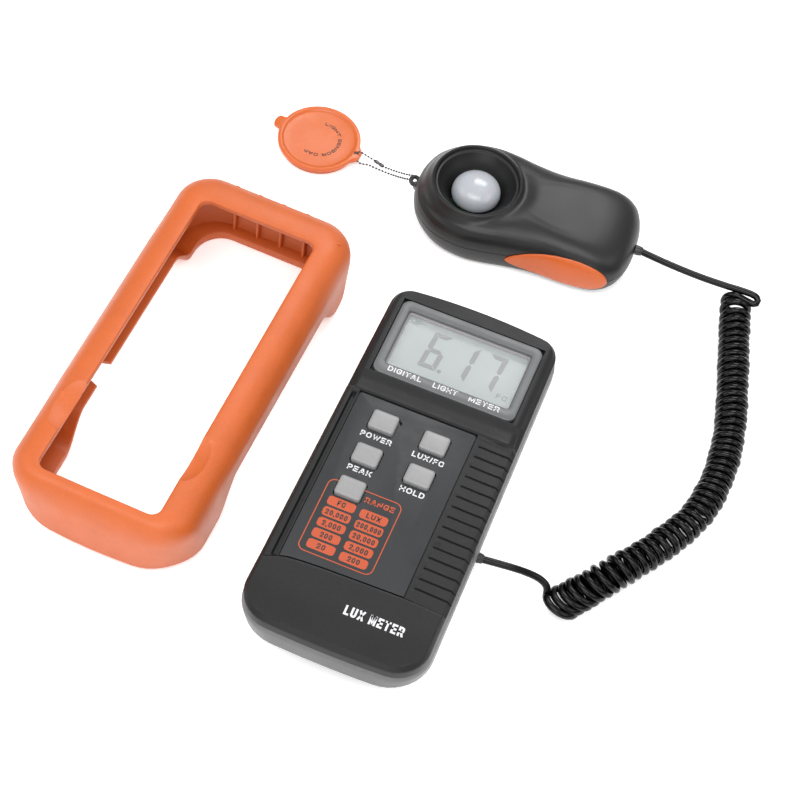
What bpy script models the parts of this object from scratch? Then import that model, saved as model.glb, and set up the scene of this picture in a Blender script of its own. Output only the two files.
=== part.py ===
"""Handheld light meter with a tethered light sensor, a sensor cap on a chain and a slip-on rubber holster.

The meter lies on its back: +X to its right, +Y towards the display, +Z out of its face.  The origin is
the centre of the flat back.  Sizes are written in millimetres and turned into metres by MM.
"""
import math

import bmesh
import bpy
from mathutils import Vector

MM = 0.001
GAP = 0.3

# Meter case
HALF_WIDTH = 31.2
REACH_BOTTOM = 70.4
REACH_TOP = 71.7
DEPTH = 30.0
SEAM_Z = 24.0
WAIST_Z = 16.5
WALL = 2.0
TAPER = 0.0115
CORNER_R_BOTTOM = 11.5
CORNER_R_TOP = 7.3
BACK_CORNER_MORE = 6.0
BOW_BOTTOM = 1.3
BOW_TOP = 2.3
BACK_INSET_SIDE = 4.0
BACK_INSET_BOTTOM = 12.0
BACK_INSET_TOP = 5.0
CEILING_Z = 27.3
BOSS_XY = [(-21.5, 28.0), (21.5, 28.0), (-21.5, -46.0), (21.5, -46.0)]
BOSS_R = 3.0
BOSS_FOOT_R = 4.4
BOSS_TOP_Z = 21.9
SCREW_HEAD_R = 2.7
SCREW_SHANK_R = 1.2

# Face of the meter
FRAME_BOX = (-25.7, 25.7, 32.0, 63.9)
WINDOW_BOX = (-22.3, 22.3, 36.6, 60.2)
PANEL_BOX = (-25.35, 16.5, -45.8, 22.1)
PANEL_RECESS_Z = 28.8
BUTTON_SIZE = (9.1, 7.4)
BUTTON_TOP_Z = 31.5
BUTTONS = {
    "power": (-13.6, 13.55),
    "peak": (-13.8, -0.65),
    "range": (-13.95, -14.55),
    "lux_fc": (4.9, 13.0),
    "hold": (4.85, -0.95),
}

# Inside the meter
BOARD_BOX = (-25.0, 25.0, -55.0, 63.0)
BOARD_Z = (20.4, 22.0)
LCD_BOX = (-24.5, 24.5, 35.0, 61.5)
BATTERY = (26.5, 48.5, 17.5)
BATTERY_Y = -57.0
COVER_HALF_WIDTH = 15.2
COVER_Y = (-57.4, -7.5)

# Sensor
HEAD_XY = (-22.95, 130.8)
SENSOR_TILT = math.radians(3.5)
SENSOR_SEAM_Z = 10.0
SENSOR_HALF_OUTLINE = [(-22.0, 0.0), (-21.0, 7.5), (-17.5, 14.5), (-10.0, 20.6), (0.0, 23.0), (9.0, 22.4),
                       (18.0, 20.8), (30.0, 19.5), (43.0, 19.9), (53.0, 19.2), (58.5, 15.8), (61.3, 9.0),
                       (62.0, 0.0)]
SENSOR_CENTRE_U = 20.0
SENSOR_SCREWS = [(-11.0, 0.0), (46.0, 11.0), (46.0, -11.0)]
RING_R = 15.85
RING_TOP_Z = 21.0
COLLAR_R = 18.5
DOME_R = 9.07
DOME_BASE_Z = 14.0
DOME_TOP_Z = 20.0

# Cap and chain
CAP_XY = (-86.6, 136.2)
CAP_R = 15.6
CAP_TOP_Z = 4.0

CHAIN_ROUTE = [(-70.6, 136.6, 4.9), (-67.0, 138.0, 4.4), (-60.5, 137.6, 2.2), (-54.5, 135.3, 4.0),
               (-50.6, 132.3, 7.2), (-50.3, 131.0, 7.6), (-52.0, 130.0, 6.2), (-57.0, 131.4, 2.2),
               (-63.5, 134.0, 2.4), (-68.2, 135.6, 4.6)]

# Cord: leads of 2.6 mm, wound to 12 mm where it is curly
CORD_R = 1.3
COIL_R = 5.8
LEAD_METER = [(33.1, -11.9, 14.0), (42.0, -10.9, 12.9), (50.0, -9.8, 11.6), (56.8, -8.6, 10.6)]
COIL_ROUTE = [(61.8, -13.2), (67.6, -3.4), (75.8, 7.5), (85.7, 22.3), (93.4, 38.5), (95.9, 54.8), (94.9, 72.1),
              (91.3, 88.8), (83.2, 118.0), (79.2, 130.6)]
LEAD_SENSOR = [(41.15, 134.72, 10.0), (54.0, 135.1, 9.3), (66.0, 135.5, 8.4), (76.0, 135.9, 7.4),
               (84.6, 136.6, 6.3), (87.0, 135.6, 5.3), (85.0, 134.4, 4.8)]

# Holster
HOLSTER_XY = (-85.9, 16.0)
HOLSTER_TILT = math.radians(-1.7)
HOLSTER_SIZE = (67.0, 145.0)
HOLSTER_R = 13.5
HOLSTER_LIP = (-22.1, 21.5, -65.5, 57.0)
HOLSTER_WALL = 3.0
HOLSTER_Z = 30.0
HOLSTER_ARCH = 13.0


def clear_scene():
    for item in list(bpy.data.objects):
        bpy.data.objects.remove(item, do_unlink=True)


def material(name, rgb, roughness, metallic=0.0, alpha=1.0):
    made = bpy.data.materials.get(name)
    if made is None:
        made = bpy.data.materials.new(name)
        made.use_nodes = True
        shader = made.node_tree.nodes["Principled BSDF"]
        shader.inputs["Base Color"].default_value = (*rgb, 1.0)
        shader.inputs["Roughness"].default_value = roughness
        shader.inputs["Metallic"].default_value = metallic
        shader.inputs["Alpha"].default_value = alpha
    return made


MATERIALS = {
    "case_grey": ((0.075, 0.077, 0.080), 0.45, 0.0, 1.0),
    "panel_dark": ((0.050, 0.053, 0.058), 0.40, 0.0, 1.0),
    "frame_grey": ((0.155, 0.157, 0.160), 0.45, 0.0, 1.0),
    "key_grey": ((0.46, 0.46, 0.46), 0.45, 0.0, 1.0),
    "window_clear": ((0.80, 0.84, 0.84), 0.08, 0.0, 0.35),
    "lcd_glass": ((0.60, 0.66, 0.65), 0.20, 0.0, 1.0),
    "white_plastic": ((0.72, 0.72, 0.70), 0.50, 0.0, 1.0),
    "rubber_strip": ((0.30, 0.30, 0.32), 0.70, 0.0, 1.0),
    "board_green": ((0.02, 0.16, 0.06), 0.45, 0.0, 1.0),
    "chip_black": ((0.02, 0.02, 0.02), 0.50, 0.0, 1.0),
    "battery_jacket": ((0.30, 0.31, 0.33), 0.35, 0.0, 1.0),
    "wire_red": ((0.55, 0.02, 0.02), 0.50, 0.0, 1.0),
    "wire_black": ((0.02, 0.02, 0.02), 0.50, 0.0, 1.0),
    "screw_steel": ((0.52, 0.52, 0.54), 0.32, 1.0, 1.0),
    "cord_black": ((0.010, 0.010, 0.011), 0.25, 0.0, 1.0),
    "gland_black": ((0.020, 0.020, 0.021), 0.50, 0.0, 1.0),
    "sensor_black": ((0.034, 0.034, 0.035), 0.40, 0.0, 1.0),
    "dome_white": ((0.80, 0.80, 0.81), 0.45, 0.0, 1.0),
    "filter_green": ((0.20, 0.42, 0.22), 0.10, 0.0, 0.5),
    "diode_grey": ((0.12, 0.12, 0.14), 0.25, 0.0, 1.0),
    "grip_orange": ((0.84, 0.18, 0.03), 0.50, 0.0, 1.0),
    "cap_orange": ((0.90, 0.28, 0.07), 0.35, 0.0, 1.0),
    "chain_steel": ((0.66, 0.66, 0.67), 0.22, 1.0, 1.0),
    "holster_orange": ((0.80, 0.17, 0.035), 0.55, 0.0, 1.0),
}


def finish(item, slot):
    item.data.materials.clear()
    item.data.materials.append(material(slot, *MATERIALS[slot]))
    if item.type == "MESH":
        item.data.shade_smooth()
        item.data.set_sharp_from_angle(angle=math.radians(35.0))
    return item


def link(name, data):
    item = bpy.data.objects.new(name, data)
    bpy.context.scene.collection.objects.link(item)
    return item


def mesh_object(name, bm):
    """A bmesh drawn in millimetres becomes an object in metres, with its faces pointing out."""
    bmesh.ops.recalc_face_normals(bm, faces=bm.faces)
    bmesh.ops.scale(bm, vec=(MM, MM, MM), verts=bm.verts)
    mesh = bpy.data.meshes.new(name)
    bm.to_mesh(mesh)
    bm.free()
    return link(name, mesh)


def loft(name, rings, cyclic=False):
    """Skin through rings of equal length; the end rings are capped unless the skin closes on itself."""
    bm = bmesh.new()
    rows = [[bm.verts.new(point) for point in ring] for ring in rings]
    pairs = list(zip(rows, rows[1:]))
    if cyclic:
        pairs.append((rows[-1], rows[0]))
    for low, high in pairs:
        for i in range(len(low)):
            j = (i + 1) % len(low)
            bm.faces.new((low[i], low[j], high[j], high[i]))
    if not cyclic:
        bm.faces.new(rows[0])
        bm.faces.new(rows[-1])
    return mesh_object(name, bm)


def at_height(outline, z):
    return [(x, y, z) for x, y in outline]


def prism(name, outline, low, high):
    return loft(name, [at_height(outline, low), at_height(outline, high)])


def slab(name, box, low, high):
    x0, x1, y0, y1 = box
    return prism(name, [(x0, y0), (x1, y0), (x1, y1), (x0, y1)], low, high)


def grown(box, margin):
    x0, x1, y0, y1 = box
    return (x0 - margin, x1 + margin, y0 - margin, y1 + margin)


def circle(cx, cy, r, sides=24):
    step = 2.0 * math.pi / sides
    return [(cx + r * math.cos(i * step), cy + r * math.sin(i * step)) for i in range(sides)]


def rod(name, cx, cy, r, low, high, sides=24):
    return prism(name, circle(cx, cy, r, sides), low, high)


def turned(name, profile, centre, sides=32):
    """Solid of revolution about a vertical axis; a profile of (radius, height) points, both ends capped."""
    return loft(name, [at_height(circle(*centre, r, sides), z) for r, z in profile])


def turned_ring(name, profile, centre, sides=32):
    """A ring: the (radius, height) profile closes on itself around a hole."""
    return loft(name, [at_height(circle(*centre, r, sides), z) for r, z in profile], cyclic=True)


def rounded_box(box, r_bottom, r_top, steps=4, edge_steps=1):
    """Rounded rectangle, counter-clockwise from its lower left corner."""
    x0, x1, y0, y1 = box
    corners = [(x0 + r_bottom, y0 + r_bottom, r_bottom, 180.0), (x1 - r_bottom, y0 + r_bottom, r_bottom, 270.0),
               (x1 - r_top, y1 - r_top, r_top, 0.0), (x0 + r_top, y1 - r_top, r_top, 90.0)]
    points = []
    for number, (cx, cy, r, start) in enumerate(corners):
        for step in range(steps + 1):
            angle = math.radians(start + 90.0 * step / steps)
            points.append((cx + r * math.cos(angle), cy + r * math.sin(angle)))
        nx, ny, nr, nstart = corners[(number + 1) % 4]
        nangle = math.radians(nstart)
        target = (nx + nr * math.cos(nangle), ny + nr * math.sin(nangle))
        last = points[-1]
        for step in range(1, edge_steps):
            t = step / edge_steps
            points.append((last[0] + (target[0] - last[0]) * t, last[1] + (target[1] - last[1]) * t))
    return points


def case_outline(side=0.0, bottom=0.0, top=0.0, corner=0.0):
    """The meter's plan outline, drawn in by the given insets: bowed ends, wider towards the bottom.
    corner is added to the radius of the two bottom corners."""
    half = HALF_WIDTH - side
    box = (-half, half, -REACH_BOTTOM + bottom, REACH_TOP - top)
    points = []
    radii = (max(CORNER_R_BOTTOM + corner - side, 4.0), max(CORNER_R_TOP - side, 4.0))
    for x, y in rounded_box(box, *radii, steps=5, edge_steps=4):
        lift = (x / half) ** 2
        x *= 1.0 + TAPER * (10.0 - y) / HALF_WIDTH
        y += BOW_BOTTOM * lift if y < 0 else -BOW_TOP * lift
        points.append((x, y))
    return points


def boolean(item, tools, operation):
    for tool in tools:
        tool.hide_render = True
        tool.display_type = "WIRE"
        change = item.modifiers.new(operation, "BOOLEAN")
        change.operation = operation
        change.object = tool
    bpy.context.view_layer.update()
    shaped = item.evaluated_get(bpy.context.evaluated_depsgraph_get())
    result = bpy.data.meshes.new_from_object(shaped)
    item.modifiers.clear()
    item.data = result
    for tool in tools:
        bpy.data.objects.remove(tool, do_unlink=True)
    return item


def cut(item, tools):
    return boolean(item, tools, "DIFFERENCE")


def join(item, tools):
    return boolean(item, tools, "UNION")


def smooth_route(points, spacing):
    """Catmull-Rom curve through the points, read at an even spacing."""
    ends = [2 * Vector(points[0]) - Vector(points[1])]
    ends += [Vector(p) for p in points]
    ends.append(2 * Vector(points[-1]) - Vector(points[-2]))
    fine = []
    for i in range(1, len(ends) - 2):
        a, b, c, d = ends[i - 1:i + 3]
        for step in range(20):
            t = step / 20
            fine.append(0.5 * ((2 * b) + (c - a) * t + (2 * a - 5 * b + 4 * c - d) * t * t
                               + (3 * b - a - 3 * c + d) * t ** 3))
    fine.append(Vector(points[-1]))
    length = sum((q - p).length for p, q in zip(fine, fine[1:]))
    count = max(2, round(length / spacing))
    kept = [fine[0]]
    travelled = 0.0
    for p, q in zip(fine, fine[1:]):
        travelled += (q - p).length
        if len(kept) < count and travelled >= len(kept) * length / count:
            kept.append(q)
    kept.append(fine[-1])
    return kept


def tube(name, points, radius, resolution=2, cyclic=False):
    curve = bpy.data.curves.new(name, "CURVE")
    curve.dimensions = "3D"
    curve.bevel_depth = radius * MM
    curve.bevel_resolution = resolution
    curve.use_fill_caps = not cyclic
    spline = curve.splines.new("POLY")
    spline.points.add(len(points) - 1)
    for slot, point in zip(spline.points, points):
        slot.co = (*(Vector(point) * MM), 1.0)
    spline.use_cyclic_u = cyclic
    return link(name, curve)


# ---------------------------------------------------------------- meter

def front_shell():
    steps = [(3.0, CEILING_Z), (2.8, SEAM_Z), (0.5, SEAM_Z), (0.8, DEPTH - 1.6), (1.2, DEPTH - 0.6), (2.0, DEPTH)]
    shell = loft("front_shell", [at_height(case_outline(inset, inset, inset), z) for inset, z in steps])
    join(shell, [rod("boss", x, y, BOSS_R, BOSS_TOP_Z + GAP, CEILING_Z + 0.5) for x, y in BOSS_XY])
    above = DEPTH + 2.0
    tools = [slab("frame_recess", grown(FRAME_BOX, GAP), 28.5, above),
             slab("panel_recess", grown(PANEL_BOX, GAP), PANEL_RECESS_Z, above),
             slab("window_hole", grown(WINDOW_BOX, 1.2), CEILING_Z - 1.0, above)]
    width, height = BUTTON_SIZE
    for x, y in BUTTONS.values():
        hole = (x - width / 2, x + width / 2, y - height / 2, y + height / 2)
        tools.append(slab("key_hole", grown(hole, GAP), CEILING_Z - 1.0, above))
    tools += [rod("pilot", x, y, SCREW_SHANK_R + GAP, BOSS_TOP_Z - 1.0, 26.6, 16) for x, y in BOSS_XY]
    return finish(cut(shell, tools), "case_grey")


def back_outline(z, extra=0.0):
    """The rear shell's outline at height z: it draws in from its widest place to the flat back."""
    share = max(0.0, 1.0 - z / WAIST_Z)
    return at_height(case_outline(BACK_INSET_SIDE * share + extra, BACK_INSET_BOTTOM * share + extra,
                                  BACK_INSET_TOP * share + extra, BACK_CORNER_MORE * share), z)


def rear_shell():
    top = SEAM_Z - GAP
    rings = [at_height(case_outline(BACK_INSET_SIDE + 1.5, BACK_INSET_BOTTOM + 1.5, BACK_INSET_TOP + 1.5,
                                    BACK_CORNER_MORE), 0.0),
             back_outline(1.5), back_outline(WAIST_Z), back_outline(WAIST_Z + 2.5), back_outline(top, 0.75),
             back_outline(top, WALL + 0.75), back_outline(WAIST_Z, WALL), back_outline(WALL, WALL)]
    shell = loft("rear_shell", rings)
    feet = [rod("boss_foot", x, y, BOSS_FOOT_R, 1.0, 5.0) for x, y in BOSS_XY]
    posts = [rod("boss_post", x, y, BOSS_R, 4.0, BOSS_TOP_Z) for x, y in BOSS_XY]
    join(shell, feet)
    join(shell, posts)
    doorway = (-COVER_HALF_WIDTH - GAP, COVER_HALF_WIDTH + GAP, -80.0, COVER_Y[1] + GAP)
    tools = [slab("battery_doorway", doorway, -1.0, 2.2)]
    tools += [rod("head_hole", x, y, SCREW_HEAD_R + GAP, -1.0, 2.9) for x, y in BOSS_XY]
    tools += [rod("shank_hole", x, y, SCREW_SHANK_R + GAP, 2.0, 23.0, 16) for x, y in BOSS_XY]
    return finish(cut(shell, tools), "case_grey")


def case_screws():
    for number, (x, y) in enumerate(BOSS_XY, start=1):
        profile = [(SCREW_HEAD_R * 0.8, 0.5), (SCREW_HEAD_R, 1.0), (SCREW_HEAD_R, 2.6), (SCREW_SHANK_R, 2.6),
                   (SCREW_SHANK_R, 25.4), (0.4, 26.2)]
        finish(turned(f"case_screw_{number}", profile, (x, y), 16), "screw_steel")


def display():
    frame = prism("display_frame", rounded_box(FRAME_BOX, 3.0, 3.0), 28.8, DEPTH + 0.15)
    opening = prism("frame_opening", rounded_box(WINDOW_BOX, 1.0, 1.0, steps=2), 20.0, 40.0)
    finish(cut(frame, [opening]), "frame_grey")
    finish(slab("display_window", grown(WINDOW_BOX, 0.8), 27.2, 28.5), "window_clear")
    finish(slab("lcd_panel", LCD_BOX, 24.0, 26.8), "lcd_glass")
    holder = slab("lcd_holder", grown(LCD_BOX, 1.5), 22.9, 26.9)
    finish(cut(holder, [slab("holder_opening", grown(LCD_BOX, GAP), 20.0, 30.0)]), "white_plastic")
    finish(slab("zebra_strip", (-22.0, 22.0, 36.0, 38.5), BOARD_Z[1] + GAP, 24.0 - GAP), "rubber_strip")


def key_panel():
    panel = prism("key_panel", rounded_box(PANEL_BOX, 1.0, 1.0, steps=2), PANEL_RECESS_Z + GAP, DEPTH)
    width, height = BUTTON_SIZE
    holes = []
    for x, y in BUTTONS.values():
        hole = (x - width / 2, x + width / 2, y - height / 2, y + height / 2)
        holes.append(slab("panel_hole", grown(hole, GAP), 20.0, 40.0))
    finish(cut(panel, holes), "panel_dark")


def buttons():
    """A keycap with a hidden flange that stops it under the shell, over its own switch."""
    width, height = BUTTON_SIZE
    for name, (x, y) in BUTTONS.items():
        cap = (x - width / 2, x + width / 2, y - height / 2, y + height / 2)
        body = rounded_box(cap, 1.0, 1.0, steps=3)
        top = rounded_box(grown(cap, -0.5), 0.8, 0.8, steps=3)
        flange = rounded_box(grown(cap, 1.1), 1.2, 1.2, steps=3)
        rings = [at_height(flange, 26.2), at_height(flange, 27.0), at_height(body, 27.0),
                 at_height(body, BUTTON_TOP_Z - 0.5), at_height(top, BUTTON_TOP_Z)]
        finish(loft(f"button_{name}", rings), "key_grey")
        switch = (x - 3.0, x + 3.0, y - 3.0, y + 3.0)
        finish(slab(f"switch_{name}", switch, BOARD_Z[1] + GAP, 25.0), "chip_black")


def board():
    holes = [rod("boss_hole", x, y, BOSS_R + 0.6, 15.0, 25.0) for x, y in BOSS_XY]
    finish(cut(slab("main_board", BOARD_BOX, *BOARD_Z), holes), "board_green")
    finish(slab("meter_ic", (-9.0, 9.0, -36.0, -26.0), BOARD_Z[1] + GAP, 24.6), "chip_black")


def battery():
    width, length, height = BATTERY
    box = (-width / 2, width / 2, BATTERY_Y, BATTERY_Y + length)
    low = 2.6
    cell = prism("battery_9v", rounded_box(box, 2.0, 2.0, steps=2), low, low + height)
    finish(cell, "battery_jacket")
    front = BATTERY_Y + length + GAP
    finish(slab("battery_snap", (-12.5, 12.5, front, front + 3.0), 4.5, 18.5), "chip_black")
    for name, slot, x in (("red", "wire_red", 6.0), ("black", "wire_black", -6.0)):
        route = [(x, front + 3.4, 11.0), (x, front + 9.0, 11.5), (x * 1.3, front + 14.0, 14.5),
                 (x * 1.5, front + 15.0, BOARD_Z[0] - GAP - 0.1)]
        finish(tube(f"battery_lead_{name}", smooth_route(route, 2.5), 0.7), slot)
    cover_box = (-COVER_HALF_WIDTH, COVER_HALF_WIDTH, *COVER_Y)
    finish(prism("battery_cover", rounded_box(cover_box, 1.5, 1.0, steps=2), 0.0, 1.8), "case_grey")


def rod_along(name, start, end, r_start, r_end, sides=20):
    """Tapered round bar between two points."""
    start = Vector(start)
    end = Vector(end)
    turn = (end - start).to_track_quat("Z", "Y").to_matrix()
    rings = []
    for centre, r in ((start, r_start), (end, r_end)):
        rings.append([centre + turn @ Vector((x, y, 0.0)) for x, y in circle(0.0, 0.0, r, sides)])
    return loft(name, rings)


def meter_gland():
    finish(rod_along("cord_gland_meter", (31.2, -12.0, 14.15), (32.8, -11.9, 14.05), 1.9, 1.6), "gland_black")


# ---------------------------------------------------------------- sensor

def to_world(u, v):
    """Sensor axes, u towards its cord end and v across, to plan coordinates."""
    return (HEAD_XY[0] + u * math.cos(SENSOR_TILT) - v * math.sin(SENSOR_TILT),
            HEAD_XY[1] + u * math.sin(SENSOR_TILT) + v * math.cos(SENSOR_TILT))


def sensor_curve(spacing=4.2):
    """The near half of the sensor's smooth outline, nose to tail."""
    near = [(u, -v, 0.0) for u, v in SENSOR_HALF_OUTLINE]
    return [(p.x, p.y) for p in smooth_route(near, spacing)]


def sensor_ring(scale, z):
    """The whole outline drawn in about the middle of the sensor."""
    near = sensor_curve()
    far = [(u, -v) for u, v in reversed(near[1:-1])]
    ring = []
    for u, v in near + far:
        ring.append((*to_world(SENSOR_CENTRE_U + (u - SENSOR_CENTRE_U) * scale, v * scale), z))
    return ring


def sensor_shells():
    top_rings = [sensor_ring(0.93, SENSOR_SEAM_Z + 0.15), sensor_ring(1.0, SENSOR_SEAM_Z + 0.15),
                 sensor_ring(0.99, 13.5), sensor_ring(0.955, 16.5), sensor_ring(0.88, 18.9),
                 sensor_ring(0.76, 20.2), sensor_ring(0.55, 20.6)]
    inner = [sensor_ring(0.55, 18.4), sensor_ring(0.74, 18.0), sensor_ring(0.83, 17.0), sensor_ring(0.90, 14.5)]
    top = loft("sensor_top_shell", [inner[0], inner[1], inner[2], inner[3], *top_rings])
    mouth = rod("mouth", *HEAD_XY, COLLAR_R + GAP, 9.0, 30.0, 32)
    finish(cut(top, [mouth]), "sensor_black")
    rings = [sensor_ring(0.80, 0.0), sensor_ring(0.87, 1.0), sensor_ring(0.955, 4.5),
             sensor_ring(1.0, SENSOR_SEAM_Z - 0.15), sensor_ring(0.93, SENSOR_SEAM_Z - 0.15),
             sensor_ring(0.885, 4.5), sensor_ring(0.81, 2.4)]
    bottom = loft("sensor_bottom_shell", rings)
    posts = [rod("post", *to_world(u, v), 2.8, 1.0, 6.4, 16) for u, v in SENSOR_SCREWS]
    join(bottom, posts)
    heads = [rod("head_hole", *to_world(u, v), 2.1, -1.0, 2.2, 16) for u, v in SENSOR_SCREWS]
    shanks = [rod("shank_hole", *to_world(u, v), 1.2, 1.0, 8.0, 12) for u, v in SENSOR_SCREWS]
    finish(cut(bottom, heads + shanks), "sensor_black")


def sensor_screws():
    for number, (u, v) in enumerate(SENSOR_SCREWS, start=1):
        profile = [(1.5, 0.3), (1.8, 0.6), (1.8, 1.9), (0.9, 1.9), (0.9, 6.2), (0.4, 6.7)]
        finish(turned(f"sensor_screw_{number}", profile, to_world(u, v), 12), "screw_steel")


def light_trap():
    profile = [(COLLAR_R, 16.0), (COLLAR_R, 20.3), (17.0, 20.9), (RING_R, RING_TOP_Z), (15.0, 20.8),
               (14.8, 19.0), (13.9, 18.8), (9.6, 13.0), (9.6, 11.6), (12.0, 11.6)]
    finish(turned_ring("light_trap_ring", profile, HEAD_XY), "sensor_black")


def dome():
    outer = []
    inner = []
    for step in range(6):
        angle = math.radians(15.0 * step)
        rise = math.sin(angle)
        outer.append((DOME_R * math.cos(angle), DOME_BASE_Z + (DOME_TOP_Z - DOME_BASE_Z) * rise))
        inner.append(((DOME_R - 1.4) * math.cos(angle), DOME_BASE_Z + (DOME_TOP_Z - DOME_BASE_Z - 1.4) * rise))
    foot = [(DOME_R - 1.4, 13.3), (DOME_R, 13.3)]
    finish(turned("diffuser_dome", [*reversed(inner), *foot, *outer], HEAD_XY, 24), "dome_white")


def sensor_inside():
    x, y = HEAD_XY
    finish(rod("photopic_filter", x, y, 6.0, 11.0, 12.6), "filter_green")
    finish(slab("photodiode", (x - 5.0, x + 5.0, y - 5.0, y + 5.0), 8.9, 10.7), "diode_grey")
    corners = [to_world(u, v) for u, v in ((-8.0, -9.0), (38.0, -9.0), (38.0, 9.0), (-8.0, 9.0))]
    finish(prism("sensor_board", corners, 7.0, 8.6), "board_green")


def side_grip(name, side):
    """Lens-shaped soft pad that follows the shell's flank."""
    flank = [(u, v) for u, v in sensor_curve(3.0) if 18.0 <= u <= 57.0]
    first = flank[0][0]
    last = flank[-1][0]
    rings = []
    for number, (u, v) in enumerate(flank):
        before = Vector(flank[max(number - 1, 0)])
        after = Vector(flank[min(number + 1, len(flank) - 1)])
        along = (after - before).normalized()
        out = Vector((along.y, -along.x))
        share = (u - first) / (last - first)
        half = 0.5 + 4.6 * math.sin(math.pi * share) ** 0.8
        middle = 10.4
        inner = Vector((u, v)) + out * (GAP + 0.05)
        outer = Vector((u, v)) + out * (GAP + 1.0)
        lean = out * 0.25
        ring = []
        for place, z in ((inner, middle - half), (outer - lean, middle - half), (outer, middle),
                         (outer - lean, middle + half), (inner, middle + half)):
            ring.append((*to_world(place.x, side * place.y), z))
        rings.append(ring)
    finish(loft(name, rings), "grip_orange")


def sensor_fittings():
    finish(rod_along("cord_gland_sensor", (*to_world(62.4, 0.0), 10.0), (*to_world(63.9, 0.0), 10.0), 1.9, 1.6),
           "gland_black")
    centre = to_world(-24.9, 0.0)
    ring = [(2.1, 7.5), (2.1, 8.5), (1.1, 8.5), (1.1, 7.5)]
    finish(turned_ring("chain_eyelet", ring, centre, 16), "gland_black")


# ---------------------------------------------------------------- cap and chain

def cap():
    cx, cy = CAP_XY
    profile = [(13.0, 2.4), (13.0, 0.0), (14.3, 0.0), (14.4, 2.4), (CAP_R, 2.5), (CAP_R, CAP_TOP_Z - 0.2),
               (CAP_R - 0.5, CAP_TOP_Z), (CAP_R - 1.6, CAP_TOP_Z - 0.1), (CAP_R - 2.2, CAP_TOP_Z - 0.6)]
    disc = turned("cap", profile, CAP_XY, 40)
    pull = slab("pull_tab", (cx - CAP_R - 2.6, cx - CAP_R + 2.0, cy - 1.6, cy + 2.8), 2.6, 3.7)
    ear = rod("ear", cx + CAP_R - 0.6, cy + 0.3, 3.0, 2.6, 3.7, 20)
    join(disc, [pull, ear])
    finish(cut(disc, [rod("ear_hole", cx + CAP_R + 0.4, cy + 0.4, 0.9, -1.0, 8.0, 12)]), "cap_orange")


def chain():
    loop = CHAIN_ROUTE + CHAIN_ROUTE[:1]
    points = smooth_route(loop, 1.8)[:-1]
    finish(tube("ball_chain", points, 0.5, 1, cyclic=True), "chain_steel")
    finish(rod_along("chain_connector", (-60.2, 138.9, 2.0), (-56.8, 137.8, 3.0), 0.6, 0.6, 12), "chain_steel")


# ---------------------------------------------------------------- cord

def cord():
    finish(tube("lead_meter", smooth_route(LEAD_METER, 3.5), CORD_R), "cord_black")
    finish(tube("lead_sensor", smooth_route(LEAD_SENSOR, 3.5), CORD_R), "cord_black")
    route = [(x, y, COIL_R + 0.05) for x, y in COIL_ROUTE]
    finish(tube("coil", smooth_route(route, 8.0), COIL_R, 3), "cord_black")


# ---------------------------------------------------------------- holster

def holster_place(x, y):
    c = math.cos(HOLSTER_TILT)
    s = math.sin(HOLSTER_TILT)
    return (HOLSTER_XY[0] + x * c - y * s, HOLSTER_XY[1] + x * s + y * c)


def holster_ring(inset, z, lip=0.0):
    """One loop of the boot: the outer outline drawn in by inset, or blended towards the lip's opening."""
    half_x = HOLSTER_SIZE[0] / 2
    half_y = HOLSTER_SIZE[1] / 2
    outer = (-half_x + inset, half_x - inset, -half_y + inset, half_y - inset)
    box = [a + (b - a) * lip for a, b in zip(outer, HOLSTER_LIP)]
    radius = max(HOLSTER_R - inset, 3.0) * (1.0 - lip) + 3.5 * lip
    ring = []
    for x, y in rounded_box(box, radius, radius, steps=5, edge_steps=8):
        low = 1.0 - min(z / 24.0, 1.0)
        along = max(0.0, min(1.0, (48.0 - abs(y - 4.0)) / 14.0))
        side = max(0.0, min(1.0, (abs(x) - 18.0) / 6.0))
        rise = HOLSTER_ARCH * low * along * along * (3 - 2 * along) * side
        ring.append((*holster_place(x, y), z + rise))
    return ring


def holster():
    top = HOLSTER_Z
    rings = [holster_ring(3.5, 0.0), holster_ring(0.9, 1.2), holster_ring(0.0, 5.0), holster_ring(0.0, top - 10.0),
             holster_ring(0.9, top - 6.0), holster_ring(3.2, top - 2.6), holster_ring(7.0, top - 0.6),
             holster_ring(10.0, top), holster_ring(0.0, top, 1.0), holster_ring(0.0, top - 3.0, 1.0),
             holster_ring(8.5, top - 3.4), holster_ring(HOLSTER_WALL, top - 6.0), holster_ring(HOLSTER_WALL, 0.0)]
    boot = loft("holster", rings, cyclic=True)
    finish(boot, "holster_orange")


def main():
    clear_scene()
    front_shell()
    rear_shell()
    case_screws()
    display()
    key_panel()
    buttons()
    board()
    battery()
    meter_gland()
    sensor_shells()
    sensor_screws()
    light_trap()
    dome()
    sensor_inside()
    side_grip("side_grip_near", 1.0)
    side_grip("side_grip_far", -1.0)
    sensor_fittings()
    cap()
    chain()
    cord()
    holster()


main()
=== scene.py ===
"""Looks of the handheld light meter set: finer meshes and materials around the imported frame.

Sizes are written in millimetres in the frame's own axes and turned into metres by MM.
"""
import math

import bmesh
import bpy
from mathutils import Matrix, Vector


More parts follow.
